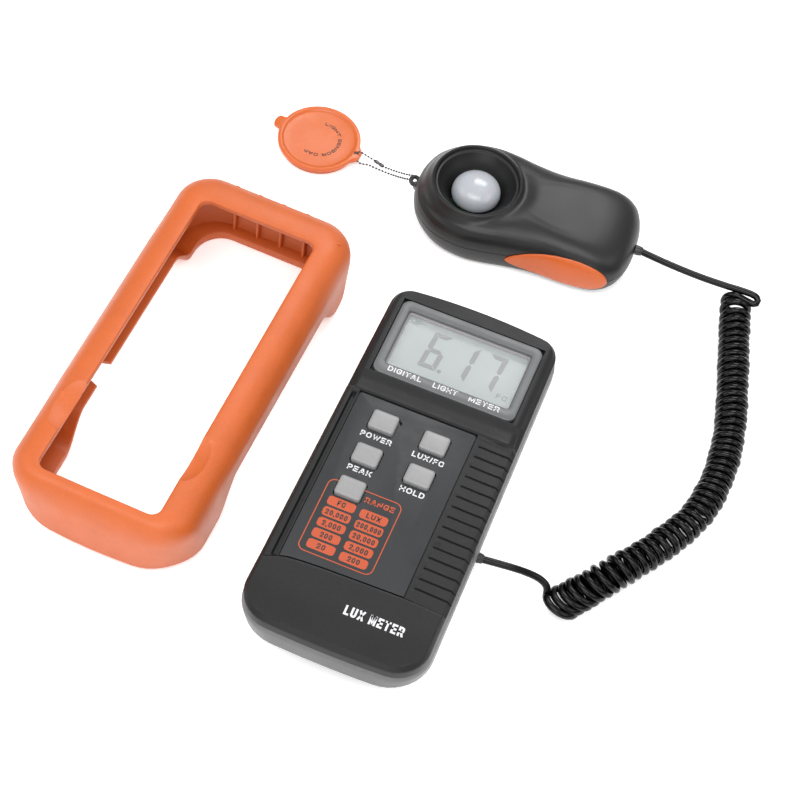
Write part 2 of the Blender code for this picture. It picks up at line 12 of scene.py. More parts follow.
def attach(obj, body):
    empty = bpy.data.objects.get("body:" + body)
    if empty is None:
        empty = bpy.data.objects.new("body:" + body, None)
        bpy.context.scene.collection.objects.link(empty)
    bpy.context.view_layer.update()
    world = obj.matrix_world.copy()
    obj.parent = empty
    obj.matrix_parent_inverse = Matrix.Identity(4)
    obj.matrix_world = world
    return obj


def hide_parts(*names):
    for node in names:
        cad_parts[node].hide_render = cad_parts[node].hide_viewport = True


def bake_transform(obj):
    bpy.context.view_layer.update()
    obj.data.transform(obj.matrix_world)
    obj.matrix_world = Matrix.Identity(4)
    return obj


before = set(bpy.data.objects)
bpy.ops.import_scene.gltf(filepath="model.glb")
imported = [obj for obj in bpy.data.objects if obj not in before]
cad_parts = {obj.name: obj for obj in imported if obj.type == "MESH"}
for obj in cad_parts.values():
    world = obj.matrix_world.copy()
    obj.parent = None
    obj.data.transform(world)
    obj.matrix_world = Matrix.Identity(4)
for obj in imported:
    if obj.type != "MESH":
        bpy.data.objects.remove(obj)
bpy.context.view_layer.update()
MM = 0.001

# ---------------------------------------------------------------- camera

AZIMUTH = math.radians(13.87)
ELEVATION = math.radians(56.74)
ROLL = math.radians(9.39)
DISTANCE = 741.8
TARGET = Vector((-12.0, 24.4, 30.0))
SENSOR_MM = 36.0
LENS_MM = 99.78525


def make_camera():
    """The photograph's view: from above and in front, a little to the right, rolled about its own axis."""
    back = Vector((math.sin(AZIMUTH) * math.cos(ELEVATION), -math.cos(AZIMUTH) * math.cos(ELEVATION),
                   math.sin(ELEVATION)))
    right = (-back).cross(Vector((0.0, 0.0, 1.0))).normalized()
    up = right.cross(-back)
    across = right * math.cos(ROLL) + up * math.sin(ROLL)
    upward = up * math.cos(ROLL) - right * math.sin(ROLL)
    data = bpy.data.cameras.new("camera")
    data.sensor_fit = "HORIZONTAL"
    data.sensor_width = SENSOR_MM
    data.lens = LENS_MM
    camera = bpy.data.objects.new("camera", data)
    matrix = Matrix((across, upward, back)).transposed().to_4x4()
    matrix.translation = (TARGET + back * DISTANCE) * MM
    camera.matrix_world = matrix
    bpy.context.scene.collection.objects.link(camera)
    bpy.context.scene.camera = camera


make_camera()

# ---------------------------------------------------------------- materials


def linear(red, green, blue):
    """Screen values from 0 to 255 as linear light."""
    values = []
    for value in (red, green, blue):
        value /= 255.0
        values.append(value / 12.92 if value <= 0.04045 else ((value + 0.055) / 1.055) ** 2.4)
    return tuple(values)


RANGE_SOCKETS = ("From Min", "From Max", "To Min", "To Max")


class Graph:
    """A material's node tree, with short ways to add a node and join sockets."""

    def __init__(self, name):
        self.material = bpy.data.materials.new(name)
        self.material.use_nodes = True
        self.nodes = self.material.node_tree.nodes
        self.links = self.material.node_tree.links
        self.shader = self.nodes["Principled BSDF"]
        self.place = self.node("ShaderNodeTexCoord").outputs["Object"]

    def node(self, kind, **inputs):
        made = self.nodes.new(kind)
        for name, value in inputs.items():
            self.put(made.inputs[name.replace("_", " ")], value)
        return made

    def put(self, socket, value):
        if isinstance(value, bpy.types.NodeSocket):
            self.links.new(value, socket)
        else:
            socket.default_value = value

    def noise(self, scale, detail=2.0, roughness=0.5):
        made = self.node("ShaderNodeTexNoise", Scale=scale, Detail=detail, Roughness=roughness)
        self.links.new(self.place, made.inputs["Vector"])
        return made.outputs["Fac"]

    def cells(self, scale):
        made = self.node("ShaderNodeTexVoronoi", Scale=scale)
        self.links.new(self.place, made.inputs["Vector"])
        return made.outputs["Distance"]

    def spread(self, value, low, high, out_low, out_high):
        made = self.node("ShaderNodeMapRange", Value=value)
        for name, number in zip(RANGE_SOCKETS, (low, high, out_low, out_high)):
            made.inputs[name].default_value = number
        return made.outputs["Result"]

    def mix(self, share, first, second):
        made = self.nodes.new("ShaderNodeMix")
        made.data_type = "RGBA"
        for socket, value in zip((made.inputs[0], made.inputs[6], made.inputs[7]), (share, first, second)):
            if isinstance(value, tuple):
                value = (*value, 1.0)
            self.put(socket, value)
        return made.outputs[2]

    def math(self, kind, first, second):
        made = self.nodes.new("ShaderNodeMath")
        made.operation = kind
        self.put(made.inputs[0], first)
        self.put(made.inputs[1], second)
        return made.outputs[0]

    def bump(self, height, strength, depth, under=None):
        made = self.node("ShaderNodeBump", Height=height, Strength=strength, Distance=depth)
        if under:
            self.links.new(under, made.inputs["Normal"])
        return made.outputs["Normal"]


def moulded(name, colour, rough, grain=1400.0, depth=0.00003, strength=0.5, vary=0.10, rough_vary=0.10,
            worn=0.25, metallic=0.0, blotch=90.0, **fixed):
    """Moulded or cast surface: fine spark grain, faint blotches, handled patches and lighter edges."""
    g = Graph(name)
    blotches = g.noise(blotch, 4.0, 0.6)
    dark = tuple(c * (1.0 - vary) for c in colour)
    light = tuple(min(c * (1.0 + vary), 1.0) for c in colour)
    tone = g.mix(g.spread(blotches, 0.3, 0.7, 0.0, 1.0), dark, light)
    speckle = g.noise(grain * 0.6, 3.0, 0.7)
    bright = tuple(min(c * 1.25 + 0.004, 1.0) for c in colour)
    tone = g.mix(g.spread(speckle, 0.45, 0.75, 0.0, 0.35), tone, bright)
    if worn:
        point = g.nodes.new("ShaderNodeNewGeometry").outputs["Pointiness"]
        edge = g.spread(point, 0.53, 0.62, 0.0, worn)
        rubbed = g.math("MULTIPLY", edge, g.spread(g.noise(260.0, 3.0), 0.4, 0.6, 0.3, 1.0))
        tone = g.mix(rubbed, tone, tuple(min(c * 1.7 + 0.03, 1.0) for c in colour))
    g.put(g.shader.inputs["Base Color"], tone)
    handled = g.noise(55.0, 3.0, 0.6)
    g.put(g.shader.inputs["Roughness"],
          g.spread(handled, 0.3, 0.7, max(rough - rough_vary, 0.02), min(rough + rough_vary, 1.0)))
    fine = g.bump(g.cells(grain), strength, depth)
    coarse = g.noise(grain * 0.35, 4.0, 0.65)
    g.put(g.shader.inputs["Normal"], g.bump(coarse, strength * 0.8, depth * 1.6, fine))
    g.shader.inputs["Metallic"].default_value = metallic
    for socket, value in fixed.items():
        g.shader.inputs[socket.replace("_", " ")].default_value = value
    return g.material


# name, colour as screen values, roughness, and what differs from a plain moulded surface
PAINTS = [
    ("case_grey", (27, 27, 28), 0.44, dict(vary=0.05, rough_vary=0.05, Specular_IOR_Level=0.226)),
    ("panel_dark", (31, 32, 34), 0.46,
     dict(grain=2600.0, depth=0.000012, vary=0.05, Specular_IOR_Level=0.4)),
    ("frame_grey", (84, 85, 86), 0.4, dict(grain=2200.0, depth=0.000014, vary=0.05)),
    ("key_grey", (128, 128, 128), 0.42, dict(grain=2400.0, depth=0.00001, vary=0.03)),
    ("window_clear", (232, 236, 236), 0.06,
     dict(grain=300.0, depth=0.000001, strength=0.1, vary=0.01, rough_vary=0.03, worn=0.0,
          Alpha=0.10)),
    ("lcd_glass", (128, 136, 135), 0.35, dict(grain=5000.0, depth=0.000002, vary=0.015, worn=0.0)),
    ("white_plastic", (222, 222, 220), 0.5, dict(vary=0.02)),
    ("rubber_strip", (120, 120, 124), 0.7, dict(vary=0.05)),
    ("board_green", (22, 92, 48), 0.4, dict(grain=900.0, vary=0.15)),
    ("chip_black", (30, 30, 31), 0.55, dict()),
    ("battery_jacket", (92, 95, 101), 0.3, dict(grain=3000.0, depth=0.000008)),
    ("wire_red", (176, 24, 20), 0.45, dict(vary=0.05)),
    ("wire_black", (24, 24, 25), 0.45, dict(vary=0.05)),
    ("screw_steel", (190, 190, 192), 0.3, dict(grain=3000.0, depth=0.000008, metallic=1.0, vary=0.06)),
    ("cord_black", (2, 2, 2), 0.13,
     dict(grain=2200.0, depth=0.000006, strength=0.2, vary=0.10, rough_vary=0.03, worn=0.0,
          Specular_IOR_Level=0.22)),
    ("gland_black", (26, 26, 27), 0.42, dict(worn=0.15)),
    ("sensor_black", (9, 9, 9), 0.42,
     dict(grain=2000.0, depth=0.000012, vary=0.03, rough_vary=0.02, worn=0.0, Specular_IOR_Level=0.4)),
    ("dome_white", (158, 161, 167), 0.2,
     dict(grain=2600.0, depth=0.00001, vary=0.015, worn=0.0, Subsurface_Weight=0.25,
          Subsurface_Scale=0.003)),
    ("filter_green", (7, 11, 8), 0.2, dict(vary=0.03, worn=0.0)),
    ("diode_grey", (96, 96, 104), 0.3, dict()),
    ("grip_orange", (188, 84, 22), 0.46, dict(grain=2400.0, depth=0.00001, vary=0.04)),
    ("cap_orange", (186, 88, 26), 0.36,
     dict(grain=2600.0, depth=0.000008, vary=0.03, worn=0.1, Subsurface_Weight=0.3,
          Subsurface_Scale=0.003)),
    ("chain_steel", (84, 85, 87), 0.22, dict(grain=4000.0, depth=0.000004, metallic=1.0, vary=0.05)),
    ("holster_orange", (181, 84, 28), 0.46,
     dict(grain=1900.0, depth=0.000018, vary=0.05, rough_vary=0.08, worn=0.2)),
    ("lcd_ink", (84, 85, 86), 0.4, dict(grain=5000.0, depth=0.000002, vary=0.02, worn=0.0)),
    ("lcd_faint", (88, 92, 92), 0.4, dict(grain=5000.0, depth=0.000002, vary=0.02, worn=0.0)),
    ("liner_grey", (150, 145, 148), 0.5, dict(grain=2600.0, depth=0.000008, vary=0.03, worn=0.0)),
    # painted light: a lighter, lit copy of case_grey for the rear shell's walls, which are the same plastic
    ("rear_grey_painted_lit", (86, 86, 87), 0.46, dict(vary=0.07)),
    ("print_white", (196, 196, 198), 0.5, dict(grain=2600.0, depth=0.000006, vary=0.03, worn=0.0)),
    ("print_orange", (166, 64, 22), 0.5, dict(grain=2600.0, depth=0.000006, vary=0.04, worn=0.0)),
    ("print_dark", (38, 20, 14), 0.5, dict(grain=2600.0, depth=0.000006, vary=0.05, worn=0.0)),
]
MATERIALS = {name: moulded(name, linear(*screen), rough, **more) for name, screen, rough, more in PAINTS}

for cad_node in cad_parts.values():
    for material_slot in cad_node.material_slots:
        known = material_slot.material.name.split(".")[0] if material_slot.material else ""
        if known in MATERIALS:
            material_slot.material = MATERIALS[known]

# ---------------------------------------------------------------- mesh helpers


def smooth01(t):
    t = max(0.0, min(1.0, t))
    return t * t * (3.0 - 2.0 * t)


def built(name, shape, weld=0.0):
    """An object from (vertices in millimetres, faces). weld joins vertices that are closer than it."""
    verts, faces = shape
    mesh = bpy.data.meshes.new(name)
    mesh.from_pydata([Vector(v) * MM for v in verts], [], faces)
    bm = bmesh.new()
    bm.from_mesh(mesh)
    if weld:
        bmesh.ops.remove_doubles(bm, verts=bm.verts, dist=weld * MM)
        bmesh.ops.dissolve_degenerate(bm, dist=weld * MM, edges=bm.edges)
    bmesh.ops.recalc_face_normals(bm, faces=bm.faces)
    bm.to_mesh(mesh)
    bm.free()
    made = bpy.data.objects.new(name, mesh)
    bpy.context.scene.collection.objects.link(made)
    return made


def piece(name, shape, slot, body, replaces=(), angle=32.0, weld=0.0, paint=None):
    """A shape becomes a piece that rides on a body and stands for CAD nodes. paint, if given, is what it
    wears in place of its slot's material."""
    made = built(name, shape, weld)
    made.data.materials.append(MATERIALS[paint or slot])
    made.data.shade_smooth()
    made.data.set_sharp_from_angle(angle=math.radians(angle))
    if body:
        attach(made, body)
    if replaces:
        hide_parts(*replaces)
    return made


def cut_away(target, shapes):
    """Takes closed shapes out of a piece."""
    tools = [built("tool", shape) for shape in shapes]
    for tool in tools:
        change = target.modifiers.new("cut", "BOOLEAN")
        change.operation = "DIFFERENCE"
        change.object = tool
    bpy.context.view_layer.update()
    shaped = target.evaluated_get(bpy.context.evaluated_depsgraph_get())
    result = bpy.data.meshes.new_from_object(shaped)
    target.modifiers.clear()
    name = target.data.name
    target.data = result
    result.name = name
    for tool in tools:
        bpy.data.objects.remove(tool, do_unlink=True)


def skin(rings, cyclic=False, capped=True):
    """Faces through rings of equal length. cyclic joins the last ring to the first; capped closes both
    ends with a fan about their middle."""
    verts = [tuple(point) for ring in rings for point in ring]
    width = len(rings[0])
    faces = []
    count = len(rings) if cyclic else len(rings) - 1
    for j in range(count):
        a = j * width
        b = (j + 1) % len(rings) * width
        for i in range(width):
            n = (i + 1) % width
            faces.append((a + i, a + n, b + n, b + i))
    if capped and not cyclic:
        for j in (0, len(rings) - 1):
            middle = sum((Vector(p) for p in rings[j]), Vector()) / width
            verts.append(tuple(middle))
            centre = len(verts) - 1
            for i in range(width):
                faces.append((j * width + i, j * width + (i + 1) % width, centre))
    return verts, faces


def merged(*parts):
    """Several (vertices, faces) lists as one."""
    verts = []
    faces = []
    for part_verts, part_faces in parts:
        start = len(verts)
        verts.extend(part_verts)
        faces.extend(tuple(i + start for i in face) for face in part_faces)
    return verts, faces


def polar(cx, cy, r, angle):
    return (cx + r * math.cos(angle), cy + r * math.sin(angle))


def circle(cx, cy, r, sides=48):
    """Points round a circle, counter-clockwise."""
    step = 2.0 * math.pi / sides
    return [polar(cx, cy, r, i * step) for i in range(sides)]


def at_height(outline, z):
    return [(x, y, z) for x, y in outline]


def slab(outline, low, high):
    """A flat closed body between two heights."""
    return skin([at_height(outline, low), at_height(outline, high)])


def rim(outer, inner, low, high):
    """A flat closed frame between two outlines."""
    rings = [at_height(outer, low), at_height(outer, high), at_height(inner, high), at_height(inner, low)]
    return skin(rings, cyclic=True)


def rounded_box(box, r, steps=6, edge_steps=1):
    """Rounded rectangle, counter-clockwise; box is x low, x high, y low, y high."""
    x0, x1, y0, y1 = box
    corners = [(x0 + r, y0 + r, 180.0), (x1 - r, y0 + r, 270.0), (x1 - r, y1 - r, 0.0),
               (x0 + r, y1 - r, 90.0)]
    points = []
    for number, (cx, cy, start) in enumerate(corners):
        for step in range(steps + 1):
            points.append(polar(cx, cy, r, math.radians(start + 90.0 * step / steps)))
        nx, ny, nstart = corners[(number + 1) % 4]
        target = polar(nx, ny, r, math.radians(nstart))
        last = points[-1]
        for step in range(1, edge_steps):
            t = step / edge_steps
            points.append((last[0] + (target[0] - last[0]) * t, last[1] + (target[1] - last[1]) * t))
    return points


def grown(box, margin):
    """A box (x low, x high, y low, y high) made larger on every side."""
    return (box[0] - margin, box[1] + margin, box[2] - margin, box[3] + margin)


FINE_STEPS = 60


def catmull(a, b, c, d, t):
    """The point at share t of a Catmull-Rom stretch from b to c."""
    return 0.5 * ((2 * b) + (c - a) * t + (2 * a - 5 * b + 4 * c - d) * t * t
                  + (3 * b - a - 3 * c + d) * t ** 3)


def path_length(points):
    return sum((q - p).length for p, q in zip(points, points[1:]))


def smooth_curve(points, spacing):
    """Catmull-Rom curve through the points, read at an even spacing."""
    ends = [2 * Vector(points[0]) - Vector(points[1])]
    ends += [Vector(p) for p in points]
    ends.append(2 * Vector(points[-1]) - Vector(points[-2]))
    fine = []
    for i in range(1, len(ends) - 2):
        a, b, c, d = ends[i - 1:i + 3]
        fine += [catmull(a, b, c, d, step / FINE_STEPS) for step in range(FINE_STEPS)]
    fine.append(Vector(points[-1]))
    length = path_length(fine)
    count = max(2, round(length / spacing))
    kept = [fine[0]]
    travelled = 0.0
    for p, q in zip(fine, fine[1:]):
        step = (q - p).length
        while len(kept) < count and travelled + step >= len(kept) * length / count:
            share = (len(kept) * length / count - travelled) / step
            kept.append(p.lerp(q, share))
        travelled += step
    kept.append(fine[-1])
    return kept


def tube_rings(points, radius, sides=12):
    """Rings round a line, turned as little as possible from one to the next. radius may be a list."""
    radii = radius if isinstance(radius, list) else [radius] * len(points)
    tangents = []
    for i in range(len(points)):
        ahead = points[min(i + 1, len(points) - 1)]
        behind = points[max(i - 1, 0)]
        tangents.append((ahead - behind).normalized())
    side = tangents[0].orthogonal().normalized()
    rings = []
    for i, (point, tangent) in enumerate(zip(points, tangents)):
        side = (side - tangent * side.dot(tangent)).normalized()
        other = tangent.cross(side)
        ring = []
        for step in range(sides):
            angle = 2.0 * math.pi * step / sides
            ring.append(point + (side * math.cos(angle) + other * math.sin(angle)) * radii[i])
        rings.append(ring)
    return rings


# ---------------------------------------------------------------- cord

CORD_R = 1.3
LEAD_METER = [(33.1, -11.9, 14.0), (40.0, -10.7, 13.4), (47.0, -9.4, 12.2), (52.6, -8.7, 10.4),
              (55.9, -9.3, 8.4)]
COIL_ROUTE = [(61.9, -11.9), (68.4, -3.0), (76.0, 7.5), (85.7, 22.3), (93.4, 38.5), (95.9, 54.8),
              (94.9, 72.1), (91.3, 88.8), (83.4, 117.5), (79.8, 131.0)]
LEAD_SENSOR = [(41.15, 134.72, 10.0), (48.0, 134.0, 10.0), (56.7, 133.3, 10.1), (66.0, 133.0, 10.2),
               (74.0, 133.1, 10.4), (80.5, 133.3, 10.7), (85.2, 133.0, 10.9), (87.0, 131.9, 10.4),
               (86.0, 130.6, 9.2)]
TURN_STEPS = 22
TURN_R = 4.5
PITCH = 2.92
LOOSE_AT = 42.0
START_PHASE = math.radians(60.0)
LEAN = math.radians(-56.0)
LEAN_LENGTH = 36.0
FAR_YAW = math.radians(12.0)
OFF_FLOOR = 0.08


def coil_points():
    """The curly part. Its first turns, at the meter, lean over and are wider; turns spread a little about
    LOOSE_AT and more towards the sensor, where they are also turned about the vertical."""
    route = smooth_curve([(x, y, 0.0) for x, y in COIL_ROUTE], 0.25)
    length = path_length(route)

    def pitch(s):
        loose = 0.35 * smooth01((34.0 - abs(s - LOOSE_AT)) / 16.0)
        return PITCH + loose + 0.9 * smooth01((s - length + 17.0) / 15.0)

    turns = 0.0
    s = 0.0
    while s < length:
        turns += 0.1 / pitch(s)
        s += 0.1
    whole = math.floor(turns)
    stretch = turns / whole
    points = []
    phase = -START_PHASE
    end_phase = 2.0 * math.pi * whole
    s = 0.0
    count = len(route) - 1
    while phase < end_phase:
        place = min(s / length, 1.0) * count
        i = min(int(place), count - 1)
        centre = route[i].lerp(route[i + 1], place - i)
        along = (route[min(i + 3, count)] - route[max(i - 2, 0)]).normalized()
        left = Vector((-along.y, along.x, 0.0))
        near = smooth01((LEAN_LENGTH - s) / 32.0)
        far = smooth01((s - length + 12.0) / 12.0)
        uneven = 0.13 * math.sin(phase * 0.37 + 1.0) + 0.10 * math.sin(phase * 0.151 + 0.4)
        radius = TURN_R + 0.35 * smooth01((60.0 - s) / 60.0) + 0.45 * near + uneven
        lean = LEAN * near
        yaw = FAR_YAW * far
        up = Vector((0.0, 0.0, 1.0)) * math.cos(lean) + along * math.sin(lean)
        side = left * math.cos(yaw) + along * math.sin(yaw)
        base = centre + Vector((0.0, 0.0, CORD_R + OFF_FLOOR + radius * math.cos(lean)))
        points.append(base + (up * math.cos(phase) - side * math.sin(phase)) * radius)
        phase += 2.0 * math.pi / TURN_STEPS
        s += pitch(s) * stretch / TURN_STEPS
    return points


def cord():
    """The whole cord, from the meter's gland to the sensor's, as one tube."""
    coil = coil_points()
    start = smooth_curve([*LEAD_METER, coil[0], coil[1]], 1.2)
    end = smooth_curve([coil[-2], coil[-1], *[Vector(p) for p in reversed(LEAD_SENSOR)]], 1.2)
    points = start[:-1] + coil[1:-1] + end[1:]
    made = piece("coiled_cord", skin(tube_rings(points, CORD_R, 10)), "cord_black", None,
                 ("lead_meter", "coil", "lead_sensor"), 60.0)
    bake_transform(made)


cord()

# ---------------------------------------------------------------- meter case

HALF_WIDTH = 31.5
REACH_BOTTOM = 70.4
REACH_TOP = 71.7
TAPER = 0.0115
CORNER_R_BOTTOM = 11.5
CORNER_R_TOP = 7.3
REAR_CORNER_MORE = 6.0
BOW_BOTTOM = 1.3
BOW_TOP = 2.3
FACE_INSET = 2.1
FACE_Z = 30.0
CEILING_Z = 27.3
SEAM_Z = 24.15
FRAME_BOX = (-25.7, 25.7, 32.0, 63.9)
WINDOW_BOX = (-22.3, 22.3, 36.6, 60.2)
PANEL_BOX = (-25.35, 16.5, -45.8, 22.1)
PANEL_Z = 29.8
PAD_Y = -45.0
# x and y of the line where the ribs end and the smooth lower end begins
PAD_EDGE = [(-30.2, -48.7), (-27.0, -47.3), (-24.5, -46.4), (-22.2, -45.85), (-18.0, -45.45), (-10.7, -45.0),
            (1.3, -44.65), (16.3, -44.25), (22.0, -44.3), (30.0, -44.8)]
BUTTON_SIZE = (9.1, 7.4)
BUTTONS = {
    "power": (-13.6, 13.55),
    "peak": (-13.8, -0.65),
    "range": (-13.95, -14.55),
    "lux_fc": (4.9, 13.0),
    "hold": (4.85, -0.95),
}
GROOVE_FIRST_Y = 18.8
GROOVE_STEP = 4.18
GROOVES = [GROOVE_FIRST_Y - GROOVE_STEP * k for k in range(15)]
GROOVE_DEPTH = 0.60
RIBS_X = 18.4
FRAME_FLOOR_Z = 28.5
PANEL_FLOOR_Z = 28.8
CLEARANCE = 0.3
WINDOW_CLEARANCE = 1.2
SHOULDER_DROP = 0.85
STEP = 0.015
SAME_LINE = 0.02


def key_box(name, margin=0.0):
    x, y = BUTTONS[name]
    width, height = BUTTON_SIZE
    return grown((x - width / 2, x + width / 2, y - height / 2, y + height / 2), margin)


def read_table(table, at):
    """Straight-line reading of a table of (place, value) pairs."""
    if at <= table[0][0]:
        return table[0][1]
    for (a, va), (b, vb) in zip(table, table[1:]):
        if at <= b:
            return va + (vb - va) * (at - a) / (b - a)
    return table[-1][1]


def bent(x, y):
    """Bends the face's rows so that the row at PAD_Y follows the bowed edge of the smooth lower end."""
    share = smooth01((y + 60.0) / 15.0) if y < PAD_Y else smooth01((-35.5 - y) / 9.0)
    return y + (read_table(PAD_EDGE, x) - PAD_Y) * share


def inside(box, x, y):
    return box[0] < x < box[1] and box[2] < y < box[3]


def face_height(x, y):
    """How high the case's face stands: head, valley, sunk strips beside the panel, ribs and lower end."""
    if inside(grown(FRAME_BOX, CLEARANCE), x, y):
        return FRAME_FLOOR_Z
    if y > PAD_Y and inside(grown(PANEL_BOX, CLEARANCE), x, y):
        return PANEL_FLOOR_Z
    z = FACE_Z - 0.06 * (x / 27.0) ** 4
    if y > 22.4:
        valley = smooth01((y - 22.6) / 1.5) * smooth01((31.8 - y) / 4.0)
        z -= 0.50 * valley
        z -= SHOULDER_DROP * smooth01((-x - 27.6) / 1.9) * smooth01((y - 23.0) / 1.2)
        z -= SHOULDER_DROP * smooth01((x - 27.2) / 1.9) * smooth01((y - 20.5) / 1.2)
        z -= 0.35 * smooth01((y - 64.2) / 5.5)
        return z
    if y < PAD_Y:
        z -= 0.5 * smooth01((y - PAD_Y + 0.5) / 0.5) ** 2
        return z - 0.8 * smooth01((-52.0 - y) / 18.0) ** 2
    z -= 0.22 * smooth01((y - PAD_Y) / 0.3)
    if x < -25.35:
        run = smooth01((y - PAD_Y - 0.3) / 1.4) * smooth01((21.6 - y) / 0.8)
        z -= 1.5 * smooth01((x + 28.1) / 0.45) * smooth01((-26.3 - x) / 0.35) * run
        z -= 0.25 * smooth01((22.0 - y) / 0.8)
    if x > 16.8:
        z -= 0.30 * smooth01((x - 17.2) / 8.0) + 0.30 * smooth01((22.6 - 0.09 * (x - 17.0) - y) / 0.7)
        for groove in GROOVES:
            off = abs(y - groove)
            if off < 0.7 and x > RIBS_X:
                z -= GROOVE_DEPTH * smooth01((0.5 - off) / 0.32) * smooth01((x - RIBS_X) / 0.5)
    return z


def case_half_width(y, reach_bottom, reach_top, half, r_bottom, r_top):
    """Half the outline's width at y, with rounded corners, before it is bowed."""
    spread = 1.0 + TAPER * (10.0 - y) / HALF_WIDTH
    ends = ((r_bottom, -reach_bottom + r_bottom - y), (r_top, y - reach_top + r_top))
    r, past = max(ends, key=lambda end: end[1])
    cut = r - math.sqrt(max(r ** 2 - past ** 2, 0.0)) if past > 0.0 else 0.0
    return (half - cut) * spread


def bow_share(x, y):
    """Where the ends' bow acts: at the very ends, and a little further in along the outer edges."""
    outer = smooth01((abs(x) - 26.2) / 2.0)
    if y < 0:
        return smooth01((-46.0 - y) / 14.0)
    return smooth01((y - 64.25) / 3.5) * (1.0 - outer) + smooth01((y - 45.0) / 14.0) * outer


def bowed(x, y):
    """Bends a point of the face with the bowed ends of the case."""
    return (x, y + (x / HALF_WIDTH) ** 2 * bow_share(x, y) * (BOW_BOTTOM if y < 0 else -BOW_TOP))


def spaced(low, high, step):
    """Evenly spaced numbers from low to high, at most step apart."""
    count = max(1, math.ceil((high - low) / step))
    return [low + (high - low) * i / count for i in range(count + 1)]


def edge_pair(value):
    return [value - STEP, value + STEP]


def face_lines():
    """The face mesh's column and row positions, close together wherever the face steps."""
    columns = spaced(-25.0, 25.0, 2.2)
    rows = spaced(-59.5, 64.4, 2.2)
    for box in (grown(FRAME_BOX, CLEARANCE), grown(PANEL_BOX, CLEARANCE),
                grown(WINDOW_BOX, WINDOW_CLEARANCE)):
        columns += edge_pair(box[0]) + edge_pair(box[1])
        rows += edge_pair(box[2]) + edge_pair(box[3])
    for name in BUTTONS:
        box = key_box(name, CLEARANCE)
        columns += [box[0], box[1]]
        rows += [box[2], box[3]]
    columns += [RIBS_X, 18.65, 18.9, -28.5, -28.1, -27.9, -27.65, -27.1, -26.65, -26.5, -26.3, -26.05]
    columns += [26.5, 27.2, 27.8, 28.4]
    for groove in GROOVES:
        rows += [groove + off for off in (-0.5, -0.36, -0.2, 0.0, 0.2, 0.36, 0.5)]
    rows += [22.4, 22.7, 23.0, 23.4, 23.8, 24.4, 26.0, 28.0, 29.0, 30.0, 31.0, 31.6, 20.8, 21.2, 21.6, 21.9]
    rows += [PAD_Y + off for off in (-0.5, -0.3, -0.15, -STEP, STEP, 0.3, 0.6, 1.0, 1.4, 1.8)]
    columns = sorted(x for x in set(columns) if abs(x) <= 28.5)
    columns = [x for i, x in enumerate(columns) if i == 0 or x - columns[i - 1] > SAME_LINE]
    corner_bottom = CORNER_R_BOTTOM - FACE_INSET
    corner_top = CORNER_R_TOP - FACE_INSET
    low = -REACH_BOTTOM + FACE_INSET
    high = REACH_TOP - FACE_INSET
    for step in range(9):
        angle = math.radians(90.0 * step / 8)
        rows.append(low + corner_bottom * (1.0 - math.sin(angle)))
        rows.append(high - corner_top * (1.0 - math.sin(angle)))
    rows = sorted(y for y in set(rows) if low - 1e-6 <= y <= high + 1e-6)
    rows = [y for i, y in enumerate(rows) if i == 0 or y - rows[i - 1] > SAME_LINE]
    return columns, rows


OUTER_SHARES = [0.0, 0.14, 0.28, 0.42, 0.56, 0.7, 0.85, 1.0]


